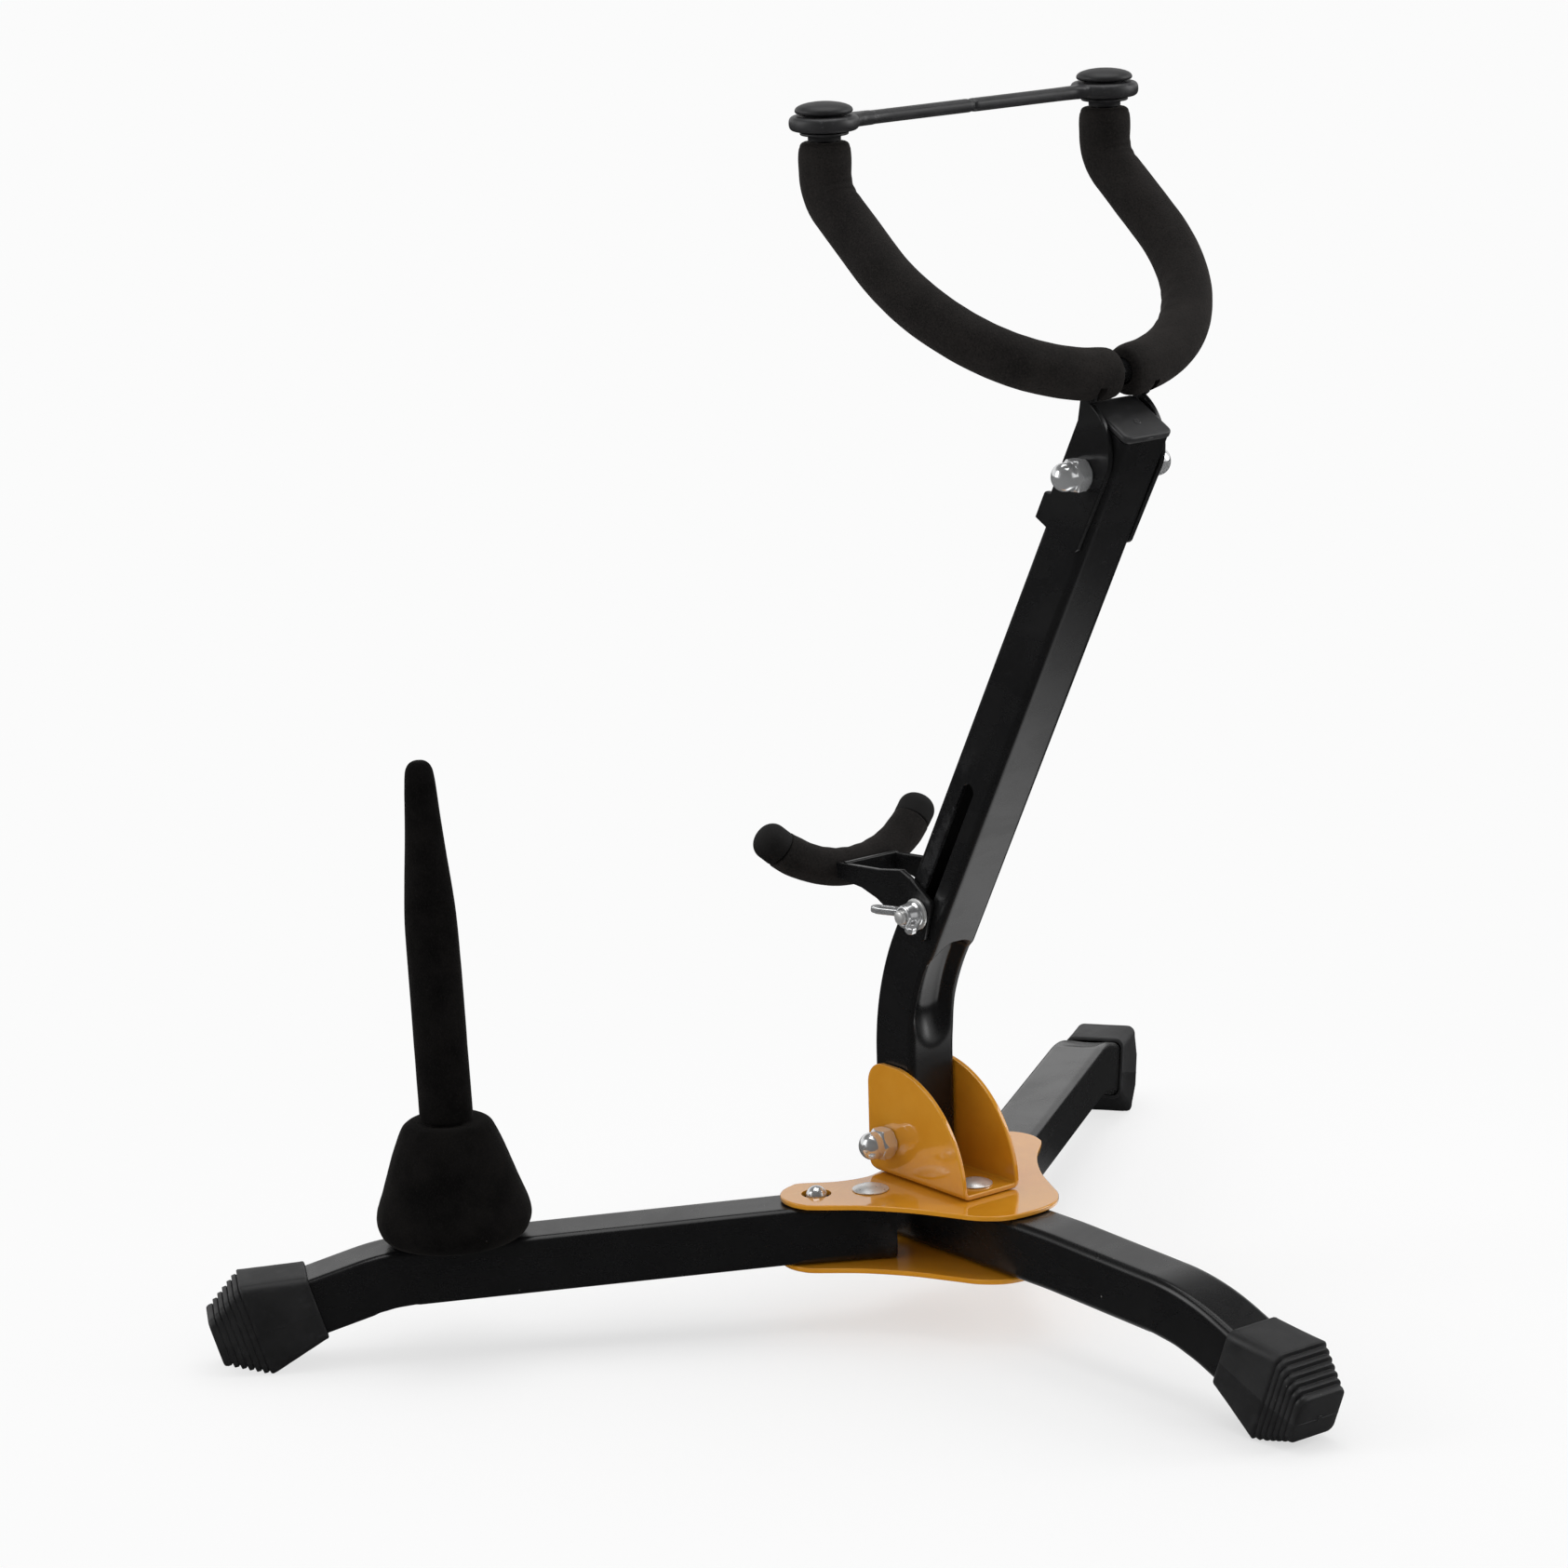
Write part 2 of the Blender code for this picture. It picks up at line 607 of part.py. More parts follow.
def foot(tag, mouth):
    """Rubber boot: flared square socket, stepped ribs, small flat nose."""
    along, height, heading = mouth
    # half height that reaches just below the floor, where the boot is trimmed flat
    reach = (height + 22.0 * sin(heading)) / cos(heading) + 1.0
    # distance from the mouth, half width, half height
    profile = [(0.0, 11.2, 11.3),
               (0.8, 11.5, 11.7),
               (11.0, 11.5, 11.9 + (reach - 11.9) * 0.45),
               (21.2, 11.5, reach - 0.3),
               (BOOT_BODY_END, 11.3, reach)]
    distance, half_width, half_height = profile[-1]
    for _ in range(BOOT_RIBS):
        half_width -= 0.48
        half_height -= (reach - 8.8) / 5.2
        distance += 0.5
        profile.append((distance, half_width, half_height))
        distance += 1.9
        profile.append((distance, half_width - 0.05, half_height - 0.15))
    profile.append((distance + 0.8, half_width - 0.7, half_height - 0.8))

    def loop(distance, half_width, half_height, corner):
        station = (along + distance * cos(heading), height + distance * sin(heading), heading)
        return swept_section(station, square_ring(half_width, half_height, corner), PLACES[tag])

    socket = TUBE_HALF + 0.2
    loops = [loop(depth, socket, socket, TUBE_CORNER) for depth in (BOOT_DEPTH, 0.0)]
    loops += [loop(*row, 3.0) for row in profile]
    ob = loft(tag + "_foot", loops, RUBBER)
    boolean(ob, FLOOR_CUT)
    return ob


for tag, leg in (("right", FRONT_LEG), ("left", FRONT_LEG), ("back", BACK_LEG)):
    stations = leg_stations(**leg)
    tube = leg_tube(tag, stations)
    boot = foot(tag, run_on(stations[-2], leg["boot_mouth"]))
    # the front legs carry their origin on the rivet axis they swing about
    swing = None if tag == "back" else RIVETS[tag]
    for piece, angle in ((tube, 30), (boot, 28)):
        bake(piece)
        finish(piece, angle, swing)


# ---------------------------------------------------------------- leg detents
def detent_button(tag, place, roof):
    plate_top = PLATE_TOP_Z + PLATE_T
    profile = [(0, roof - 4.4), (3.2, roof - 4.4), (3.2, roof - 2.2), (4.9, roof - 2.2),
               (4.9, roof - 0.4), (3.6, roof - 0.4)]
    profile += dome(3.6, plate_top - 0.6, 3.4, (0, 25, 50, 72)) + [(0, plate_top + 2.8)]
    ob = spin(tag + "_detent_button", profile, Matrix.Translation(place), 18, CHROME)
    finish(ob, 40, (place.x, place.y, roof))


def detent_spring(tag, place, roof):
    coil_r = 4.0
    turns = 4
    per_turn = 10
    low = LEG_TOP - 2 * TUBE_HALF + TUBE_WALL + 0.75
    high = roof - 2.2 - 0.75
    points = []
    for i in range(turns * per_turn + 1):
        turn = 2 * pi * i / per_turn
        points.append((place.x + coil_r * cos(turn), place.y + coil_r * sin(turn),
                       low + (high - low) * i / (turns * per_turn)))
    ob = rod(tag + "_detent_spring", points, 0.45, ZINC)
    finish(ob, 60, (place.x, place.y, low))


for tag, place in DETENTS.items():
    detent_button(tag, place, LEG_TOP - TUBE_WALL)
    detent_spring(tag, place, LEG_TOP - TUBE_WALL)

# ---------------------------------------------------------------- upright
UPRIGHT_BEND_STEPS = 10
CRUSH_DEPTH = 5.0
CRUSH_HALF_WIDTH = 8.3
HEEL_R = 10.4
SLOT_HALF = 2.75                # half width of the slot the rest slides in
SLOT_PLAY = 0.6


def crush(station, x, y):
    """Valley pressed into the back wall (-height side) of the bend."""
    t = (station - 1) / UPRIGHT_BEND_STEPS
    if y > -0.6 * TUBE_HALF or not 0.0 < t < 1.0:
        return 0.0
    width = max(0.0, 1 - (abs(x) / CRUSH_HALF_WIDTH) ** 2.4)
    return CRUSH_DEPTH * sin(pi * t ** 0.8) ** 0.8 * width


def upright():
    bottom = CLEVIS_FLOOR_Z + 0.25
    tangent = UPRIGHT_BEND_R * tan(LEAN / 2)
    # the path runs in the (z, -y) plane
    stations = path_stations((bottom, -LOWER_PIVOT_Y, 0.0), [
        ("line", UPRIGHT_KNEE_Z - tangent - bottom),
        ("arc", UPRIGHT_BEND_R, -28.2, UPRIGHT_BEND_STEPS),
        ("line", UPRIGHT_TOP_S - tangent)])
    ob = swept_tube("upright_tube", stations, lambda a, x, b: Vector((x, -b, a)), crush,
                    extra=5, flip=-1)
    # round the bottom corner behind the pivot so the tube can swing back over the clevis floor
    y, z = LOWER_PIVOT.y, LOWER_PIVOT.z
    heel = [(y, z - HEEL_R)] + arc(y, z, HEEL_R, 270, 358, 9)
    heel += [(y + 14, z), (y + 14, z - 16), (y, z - 16)]
    boolean(ob, prism("heel_cut", heel, -20, 20, 'X'))
    cross_bore(ob, "upright_lower_bore", LOWER_PIVOT, BORE_R)
    cross_bore(ob, "upright_upper_bore", UPPER_PIVOT, PIN_R + 0.2)
    slot = arc(REST_S + REST_TRAVEL + SLOT_PLAY, 0, SLOT_HALF, -90, 90, 6)
    slot += arc(REST_S - SLOT_PLAY, 0, SLOT_HALF, 90, 270, 6)
    boolean(ob, prism("slot_cut", tube_outline(KNEE, slot), -20, 20, 'X'))
    bake(ob)
    finish(ob, 32, LOWER_PIVOT)


def upright_cap():
    # local X lateral, Y toward the back face, Z up the leaning tube
    axes = Matrix(((1, 0, 0, 0),
                   (0, TUBE_BACK.y, TUBE_UP.y, 0),
                   (0, TUBE_BACK.z, TUBE_UP.z, 0),
                   (0, 0, 0, 1)))
    frame = Matrix.Translation(KNEE + TUBE_UP * UPRIGHT_TOP_S) @ axes
    plug = TUBE_HALF - TUBE_WALL - 0.25
    # height, half size, corner radius
    sections = [(-9, plug - 0.6, 1.0), (0.25, plug, 1.0), (0.25, TUBE_HALF + 0.5, 2.6),
                (2.0, TUBE_HALF + 0.6, 2.6), (2.6, TUBE_HALF + 0.1, 2.4)]
    # the lip overhangs front and back only, the bracket cheeks pass close beside it
    loops = [[(x, y, height) for x, y in square_ring(min(half, TUBE_HALF), half, corner)]
             for height, half, corner in sections]
    ob = loft("upright_end_cap", loops, RUBBER, matrix=frame)
    nib = [(0, 2.0), (1.3, 2.0), (1.3, 2.75), (0.9, 3.0), (0, 3.05)]
    nib_frame = frame @ Matrix.Translation((0, 3.0, 0))
    boolean(ob, spin("cap_nib", nib, nib_frame, 12), 'UNION')
    bake(ob)
    finish(ob, 30)


upright()
upright_cap()


# ---------------------------------------------------------------- pivot studs and cap nuts
def cap_nut(name, pivot, side, seat):
    """Acorn nut: chamfered hexagon with a dome, blind bore from the seat."""
    frame = axis_frame((side, 0, 0), pivot + Vector((side * seat, 0, 0)))
    flat_half = 5.0
    hexagon = arc(0, 0, flat_half / cos(pi / 6), 0, 300, 5)
    ob = prism(name, hexagon, 0, 5.0, look=CHROME, matrix=frame)
    chamfer = [(0, -1), (5.4, -1), (5.4, 0), (5.9, 0.9), (5.9, 4.0), (4.75, 5.4), (0, 5.4)]
    boolean(ob, spin(name + "_chamfer", chamfer, frame, 12), 'INTERSECT')
    crown = [(0, 2.0), (4.7, 2.0), (4.7, 6.8)] + dome(4.7, 7.4, 4.1, (0, 22.5, 45, 67.5, 90))
    boolean(ob, spin(name + "_dome", crown, frame, 14), 'UNION')
    boolean(ob, cylinder(name + "_bore", PIN_R + 0.25, -2, 7.0, frame, 14))
    bake(ob)
    finish(ob, 32)


for level, pivot, outside in (("lower", LOWER_PIVOT, CLEVIS_HALF),
                              ("upper", UPPER_PIVOT, CHEEK_OUT)):
    reach = outside + 6.8
    finish(cylinder(level + "_pivot_stud", PIN_R, -reach, reach, x_axis_at(pivot), look=ZINC), 40)
    for tag, side in SIDES:
        cap_nut(f"{level}_cap_nut_{tag}", pivot, side, outside + 0.25)


# ---------------------------------------------------------------- brackets
def bracket(name, outline, radii, web, bore_r, saddle_r, saddle_at, pivot):
    """Two cheeks beside the upright joined by a web, bored for the pivot and the rod."""
    cheek = rounded_poly(outline, radii, 3)
    ob = prism(name, cheek, CHEEK_IN, CHEEK_OUT, 'X', BLACK)
    web_half = CHEEK_OUT - 0.7
    boolean(ob, prism(name + "_web", web, -web_half, web_half, 'X'), 'UNION')
    boolean(ob, prism(name + "_far", cheek, -CHEEK_OUT, -CHEEK_IN, 'X'), 'UNION')
    cross_bore(ob, name + "_bore", pivot, bore_r)
    cross_bore(ob, name + "_saddle", saddle_at, saddle_r)
    bake(ob)
    finish(ob, 30, pivot)


def yoke_bracket():
    seat = YOKE_SEAT_S - 0.2
    # (up the tube, toward its back) from the upper pivot, corner radius
    front = [(-26.0, -12.6, 0.0), (-15.5, -12.6, 1.5), (-14.6, -10.0, 0.0), (14.0, -10.0, 0.0),
             (20.5, -12.0, 3.0), (25.6, -17.3, 2.0), (seat, -17.3, 1.5), (seat, -6.6, 1.0),
             (23.6, -6.6, 0.0)]
    crown = [(*point, 0.0) for point in arc(4.5, -8.0, 17.6, 2, 82, 5)]
    corners = front + crown + [(-26.0, 8.8, 2.5)]
    outline = tube_outline(UPPER_PIVOT, [corner[:2] for corner in corners])
    web = [(-25.6, -12.4), (-25.6, -10.4), (-16.1, -10.4), (-16.1, -12.4)]
    bracket("yoke_bracket", outline, [corner[2] for corner in corners],
            tube_outline(UPPER_PIVOT, web), PIN_R + 0.08, YOKE_ROD_R + SADDLE_PLAY,
            YOKE_BOTTOM + YOKE_OUT * 1.1, UPPER_PIVOT)


def rest_bracket():
    y, z = REST_PIVOT.y, REST_PIVOT.z
    seat_y, seat_z = REST_SEAT.y, REST_SEAT.z
    # y, z, corner radius
    corners = [(y + 0.7, z - 9.9, 1.0), (y + 3.0, z - 8.7, 1.0), (y + 7.1, z + 5.0, 2.5),
               (y - 3.8, z + 11.8, 2.0), (y - 8.6, z + 13.6, 2.0), (y - 20.7, z + 11.6, 4.0),
               (seat_y + 1.0, seat_z + 4.4, 0.6), (seat_y, seat_z - 4.4, 0.6),
               (y - 29.7, z + 3.0, 4.0), (y - 21.5, z + 1.1, 4.0), (y - 3.0, z - 8.4, 1.5)]
    web = [(seat_y + 8.6, seat_z - 3.0), (seat_y + 10.6, seat_z - 3.0),
           (seat_y + 10.6, seat_z + 3.6), (seat_y + 8.6, seat_z + 3.6)]
    bracket("rest_bracket", [corner[:2] for corner in corners],
            [corner[2] for corner in corners], web, SCREW_R + 0.08,
            REST_ROD_R + SADDLE_PLAY, REST_SEAT, REST_PIVOT)


SCREW_R = 2.5                   # clamp screw of the rest
yoke_bracket()
rest_bracket()


# ---------------------------------------------------------------- yoke rod, sleeves, knobs, strap
def yoke_arm(side, start=0.0):
    """Centre line of one arm from near the middle of the U to the end of its tip bend."""
    points = []
    for i in range(10):
        turn = radians(start + (90 - start) * i / 9)
        points.append(Vector((side * YOKE_R * sin(turn), 0, 0)) + YOKE_BOTTOM
                      + YOKE_OUT * (YOKE_R * (1 - cos(turn))))
    base = YOKE_BOTTOM + YOKE_OUT * YOKE_ARM + Vector((side * YOKE_R, 0, 0))
    points.append(base)
    up = Vector((0, 0, 1))
    bend_toward = (up - YOKE_OUT * up.dot(YOKE_OUT)).normalized()
    for i in range(1, 4):
        turn = (pi / 2 - YOKE_RISE) * i / 3
        points.append(base + YOKE_OUT * (YOKE_TIP_BEND_R * sin(turn))
                      + bend_toward * (YOKE_TIP_BEND_R * (1 - cos(turn))))
    return points


def yoke_line(side, top, start=0.0):
    """An arm carried straight up to a height."""
    points = yoke_arm(side, start)
    return points + [Vector((points[-1].x, points[-1].y, top))]


YOKE_TIP = yoke_arm(1)[-1]
KNOB_Z = YOKE_TIP.z + 10.3      # foot of the rubber knobs


def cut_slits(ob, start, sides, direction):
    """Slits in a sleeve where the bracket cheeks reach the rod."""
    depth = Vector(direction).normalized()
    across = Vector((1, 0, 0))
    length = depth.cross(across).normalized()
    middle = (CHEEK_IN + CHEEK_OUT) / 2
    width = CHEEK_T + 0.7
    corners = ((-0.5, -0.5), (0.5, -0.5), (0.5, 0.5), (-0.5, 0.5))
    for k, side in enumerate(sides):
        loops = [[start + across * (side * middle + u * width) + length * (v * 26) + depth * reach
                  for u, v in corners] for reach in (0.0, 12.0)]
        boolean(ob, loft(f"{ob.name}_slit_{k}", loops))


def yoke_rod():
    left, right = (yoke_line(side, KNOB_Z + 9.8) for side in (-1, 1))
    finish(rod("yoke_rod", left[::-1] + right[1:], YOKE_ROD_R, BLACK), 40, UPPER_PIVOT)


def yoke_sleeve(tag, side):
    points = yoke_line(side, KNOB_Z - 0.4, start=2.4)
    ob = sleeve(f"yoke_sleeve_{tag}", points, YOKE_ROD_R + FOAM_PLAY, YOKE_FOAM_R, 1.2)
    cut_slits(ob, YOKE_BOTTOM, (side,), UPPER_PIVOT + TUBE_BACK * -10 - YOKE_BOTTOM)
    bake(ob)
    finish(ob, 45, UPPER_PIVOT)


def yoke_knob(tag, side):
    bore = YOKE_ROD_R + 0.25
    profile = [(bore, 0), (5.3, 0), (5.3, 1.5), (7.8, 1.8), (7.8, 2.7), (6.0, 3.0), (6.0, 8.4),
               (8.7, 8.6), (9.3, 9.2), (9.0, 10.2), (7.8, 11.2), (5.0, 12.0), (0, 12.3),
               (0, 10.2), (bore, 10.2)]
    frame = Matrix.Translation((side * YOKE_R, YOKE_TIP.y, KNOB_Z))
    finish(spin(f"yoke_knob_{tag}", profile, frame, 16, RUBBER), 40, UPPER_PIVOT)


def strap():
    """Rubber bar between the arms with a ring round each knob."""
    low = KNOB_Z + 3.05
    high = KNOB_Z + 8.1
    middle = (low + high) / 2
    ring = [(6.4, low), (10.6, low), (11.3, low + 0.8), (11.3, high - 0.8), (10.6, high),
            (6.4, high)]

    def strap_ring(name, x, look=None):
        return spin(name, ring, Matrix.Translation((x, YOKE_TIP.y, 0)), 20, look)

    ob = strap_ring("yoke_strap", YOKE_R, RUBBER)
    far = strap_ring("strap_ring_far", -YOKE_R)
    end = YOKE_R - 9.4
    half = 2.8
    quarter = [(end, half + 1.9), (end - 5, half + 1.1), (end - 13, half + 0.4), (1.4, half),
               (0.7, half - 0.7)]
    edge = quarter + [(-x, y) for x, y in reversed(quarter)]
    plan = [(x, YOKE_TIP.y - y) for x, y in edge]
    plan += [(x, YOKE_TIP.y + y) for x, y in reversed(edge)]
    bar = prism("strap_bar", plan, middle - 2.3, middle + 2.3)
    edge_round(bar, width=1.2, segments=2)
    boolean(ob, bar, 'UNION')
    boolean(ob, far, 'UNION')
    bake(ob)
    finish(ob, 40, UPPER_PIVOT)


yoke_rod()
for tag, side in SIDES:
    yoke_sleeve(tag, side)
    yoke_knob(tag, side)
strap()

# ---------------------------------------------------------------- lower rest
REST_ROD_EXTRA = 3              # degrees the rod runs past the half angle
REST_FOAM_EXTRA = -4            # degrees, the foam stops short of it


def rest_point(degrees):
    turn = radians(degrees)
    return (REST_ARC_BOTTOM + Vector((REST_R * sin(turn), 0, 0))
            + REST_UP * (REST_R * (1 - cos(turn))))


def rest_arc(extra, steps):
    half = REST_HALF_ANGLE + extra
    return [rest_point(-half + 2 * half * i / steps) for i in range(steps + 1)]


def rest_sleeve():
    ob = sleeve("rest_sleeve", rest_arc(REST_FOAM_EXTRA, 10), REST_ROD_R + FOAM_PLAY,
                REST_FOAM_R, 0.8)
    cut_slits(ob, REST_SEAT, (1, -1), (0, 1, 0))
    bake(ob)
    finish(ob, 45, REST_PIVOT)


def rest_end_cap(tag, side):
    foam_end = rest_point(side * (REST_HALF_ANGLE + REST_FOAM_EXTRA))
    rod_end = rest_point(side * (REST_HALF_ANGLE + REST_ROD_EXTRA))
    outward = (rod_end - foam_end).normalized()
    bore = REST_ROD_R + 0.4
    bore_depth = 6.6
    profile = [(bore, 0), (6.4, 0), (6.7, 0.4), (6.7, 3.4)] + dome(6.7, 3.4, 6.0, (25, 50, 72))
    profile += [(0, 9.4), (0, bore_depth), (bore, bore_depth)]
    frame = axis_frame(outward, foam_end + outward * 1.0)
    finish(spin(f"rest_end_cap_{tag}", profile, frame, 14, RUBBER), 40, REST_PIVOT)


finish(rod("rest_rod", rest_arc(REST_ROD_EXTRA, 12), REST_ROD_R, BLACK), 40, REST_PIVOT)
rest_sleeve()
for tag, side in SIDES:
    rest_end_cap(tag, side)

# ---------------------------------------------------------------- rest clamp
CLAMP_FRAME = x_axis_at(REST_PIVOT)
WING_TILT = radians(-12.0)
# (distance from the screw axis, distance out from the nut's seat)
WING_OUTLINE = [(2.9, 0.5), (4.8, 1.2), (7.8, 4.4), (10.6, 8.0), (11.0, 10.2), (9.6, 11.2),
                (7.4, 10.4), (4.8, 7.4), (3.0, 5.0)]
WING_WINDOW = [(5.3, 3.9), (6.4, 4.8), (8.2, 7.2), (8.4, 8.6), (7.2, 8.1), (5.4, 6.0)]


def clamp_screw():
    head = -(CHEEK_OUT + 0.2)
    profile = [(0, head - 2.6), (3.4, head - 2.45), (5.0, head - 1.7), (5.8, head - 0.5),
               (5.8, head), (SCREW_R, head), (SCREW_R, 20.2), (SCREW_R - 0.4, 20.6), (0, 20.6)]
    finish(spin("rest_clamp_screw", profile, CLAMP_FRAME, 20, ZINC), 40, REST_PIVOT)


def washer():
    hole, rim = SCREW_R + 0.1, 5.4
    low, high = CHEEK_OUT + 0.15, CHEEK_OUT + 1.05
    profile = [(hole, low), (rim, low), (rim, high), (hole, high)]
    finish(spin("rest_washer", profile, CLAMP_FRAME, 20, ZINC), 40, REST_PIVOT)


def wing_nut():
    """Tapered hub with two flat windowed wings in a plane that holds the screw axis."""
    seat = CHEEK_OUT + 1.2
    hub = [(0, seat), (4.7, seat), (4.7, seat + 0.9), (4.3, seat + 2.0), (3.9, seat + 5.0),
           (3.5, seat + 5.4), (0, seat + 5.4)]
    ob = spin("rest_wing_nut", hub, CLAMP_FRAME, 16, CHROME)
    tilt = (Matrix.Translation(REST_PIVOT) @ Matrix.Rotation(WING_TILT, 4, 'X')
            @ Matrix.Translation(-REST_PIVOT))

    def blade(name, outline, side, half_thickness):
        rounded = rounded_poly(outline, [1.0] * len(outline), 2)
        placed = [(seat + out, REST_PIVOT.y + side * radius) for radius, out in rounded]
        return prism(name, placed, REST_PIVOT.z - half_thickness, REST_PIVOT.z + half_thickness,
                     matrix=tilt)

    for k, side in enumerate((1, -1)):
        boolean(ob, blade(f"wing_{k}", WING_OUTLINE, side, 1.1), 'UNION')
        boolean(ob, blade(f"wing_window_{k}", WING_WINDOW, side, 3.0))
    boolean(ob, cylinder("wing_bore", SCREW_R + 0.08, 0, 40, CLAMP_FRAME, 20))
    bake(ob)
    finish(ob, 35, REST_PIVOT)


clamp_screw()
washer()
wing_nut()

# ---------------------------------------------------------------- peg
# (radius, height above the leg along the peg axis)
PEG_BASE = [(BORE_R, 0.3), (25.8, 0.3), (26.6, 1.4), (26.2, 5.0), (23.4, 16.5), (19.2, 30.5),
            (16.2, 39.0), (14.6, 41.0), (5.3, 41.4), (5.3, 24.0), (BORE_R, 24.0)]
PEG_POST = [(0, 24.6), (5.0, 24.6), (5.0, 41.8), (8.9, 41.8), (9.1, 42.6), (9.1, 112.0),
            (8.6, 119.0), (6.6, 142.0), (5.0, 160.5), *dome(4.9, 161.5, 4.4, (20, 50)),
            (0, 165.9)]

finish(cylinder("peg_stud", PIN_R, -5.0, 22.0, PEG_FRAME, look=ZINC), 40, PEG_FOOT)
finish(spin("peg_base", PEG_BASE, PEG_FRAME, 24, FOAM), 40, PEG_FOOT)
finish(spin("peg_post", PEG_POST, PEG_FRAME, 20, FOAM), 40, PEG_FOOT)

# ---------------------------------------------------------------- centre the footprint
for ob in list(PARTS.objects) + list(CUTS.objects):
    ob.location += Vector(CENTRE_SHIFT) * MM
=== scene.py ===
# A folding instrument stand. Three square-tube legs and a leaning square upright meet at two
# plates. The upright carries a padded U-shaped yoke on top, a small padded body rest on a
# slot, and the right leg carries a padded peg.
# +Z is up, -Y is the front, +X is the right. Two legs point to the front, one to the back.
# Pieces are built in millimetres round the tripod centre; to_object moves them into the
# product's frame and into metres.
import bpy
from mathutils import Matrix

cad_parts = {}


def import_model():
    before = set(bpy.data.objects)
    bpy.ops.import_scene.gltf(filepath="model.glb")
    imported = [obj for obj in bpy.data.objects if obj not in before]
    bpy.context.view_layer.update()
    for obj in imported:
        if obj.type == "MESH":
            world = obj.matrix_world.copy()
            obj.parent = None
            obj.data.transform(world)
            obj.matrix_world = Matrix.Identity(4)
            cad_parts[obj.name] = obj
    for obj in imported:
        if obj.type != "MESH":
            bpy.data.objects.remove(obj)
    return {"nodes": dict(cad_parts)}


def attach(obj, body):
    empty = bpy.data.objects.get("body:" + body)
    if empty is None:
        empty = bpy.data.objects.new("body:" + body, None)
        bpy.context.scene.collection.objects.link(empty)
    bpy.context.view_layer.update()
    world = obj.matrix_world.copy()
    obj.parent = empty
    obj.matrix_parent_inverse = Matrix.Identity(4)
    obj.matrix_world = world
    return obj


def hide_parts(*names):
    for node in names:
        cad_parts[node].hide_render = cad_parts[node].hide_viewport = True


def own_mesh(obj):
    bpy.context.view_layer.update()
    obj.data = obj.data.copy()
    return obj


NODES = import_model()["nodes"]
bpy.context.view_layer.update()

from math import asin, atan2, copysign, cos, exp, pi, radians, sin, sqrt, tan
import bpy
import bmesh
from mathutils import Matrix, Vector, noise

SCENE = bpy.context.scene
MM = 0.001
UP = Vector((0, 0, 1))

# ------------------------------------------------------------------ dimensions, in millimetres
GAP = 0.30                                       # clearance between stacked pieces
TUBE_HALF, WALL, CORNER_R = 10.0, 1.5, 2.6       # the square tube
SHIFT = Vector((-7.22, -10.4735, 0.0))           # tripod centre in the product's frame

# Legs: distances are measured outwards from the tripod centre, angles are in degrees.
LEG_TOP, LEG_SLOPE, SLOPE_AT = 44.0, 2.0, 56.0
FRONT_LEG = dict(inner=22.7, bend_at=186.0, bend_r=70.0, bend=17.0, mouth=220.0)
BACK_LEG = dict(inner=-27.0, bend_at=106.0, bend_r=90.0, bend=21.5, mouth=142.4)
LEG_ANGLE = dict(right=-30.0, left=-143.0, back=90.0)
RIVET_OUT, DETENT_OUT, PEG_OUT = 30.0, 48.7, 172.0

PLATE_T = 1.8
PLATE_TOP_Z = LEG_TOP + GAP
PLATE_BOT_Z = LEG_TOP - 2 * TUBE_HALF - GAP

CLEVIS_Z = PLATE_TOP_Z + PLATE_T + GAP
CLEVIS_HALF, CLEVIS_T, CLEVIS_H = 12.4, 1.8, 38.5
CLEVIS_FRONT, CLEVIS_BACK = -32.0, 18.3
BASE_TOP_Z = CLEVIS_Z + CLEVIS_T

# Upright: TUBE_UP runs along its leaning part, TUBE_BACK is square to it, back and down.
PIVOT_Y = -21.3
LOWER_PIVOT = Vector((0, PIVOT_Y, BASE_TOP_Z + 10.6))
LEAN_DEG = 28.2
LEAN = radians(LEAN_DEG)
TUBE_UP = Vector((0, sin(LEAN), cos(LEAN)))
TUBE_BACK = Vector((0, cos(LEAN), -sin(LEAN)))
KNEE = Vector((0, PIVOT_Y, 110.0))
UPPER_PIVOT = KNEE + TUBE_UP * 220.8
TUBE_END = 238.8                                 # from the knee to the upright's end
REST_SLOT, REST_TRAVEL = 37.6, 52.0              # slot start from the knee, and its travel
REST_PIVOT = KNEE + TUBE_UP * REST_SLOT

# Yoke: YOKE_OUT is the way its arms run, to the front and up.
YOKE_R, YOKE_RISE, YOKE_ROD, YOKE_FOAM = 59.5, 38.65, 4.0, 8.5
YOKE_SEAT = 29.3
YOKE_OUT = Vector((0, -cos(radians(YOKE_RISE)), sin(radians(YOKE_RISE))))
YOKE_BOTTOM = UPPER_PIVOT + TUBE_UP * YOKE_SEAT + TUBE_BACK * (-12.1)
ARM_LENGTH, TIP_BEND_R = 83.8, 14.0

# Bracket cheeks stand either side of the tube.
CHEEK_IN, CHEEK_OUT = TUBE_HALF + 0.3, TUBE_HALF + 2.2
CHEEK_MID = (CHEEK_IN + CHEEK_OUT) / 2

# Body rest: an arc of rod, REST_ARC degrees either side of its bottom.
REST_R, REST_ARC, REST_ROD, REST_FOAM = 44.6, 44.5, 3.2, 6.7
REST_BOTTOM = Vector((0, -52.0, 148.9))
REST_UP = Vector((0, sin(radians(-19.6)), cos(radians(-19.6))))

# Hole radii
RIVET_HOLE, STUD_HOLE, WIDE_STUD_HOLE, SCREW_HOLE = 3.28, 3.08, 3.2, 2.58


def polar(degrees, radius, z=0.0):
    return Vector((radius * cos(radians(degrees)), radius * sin(radians(degrees)), z))


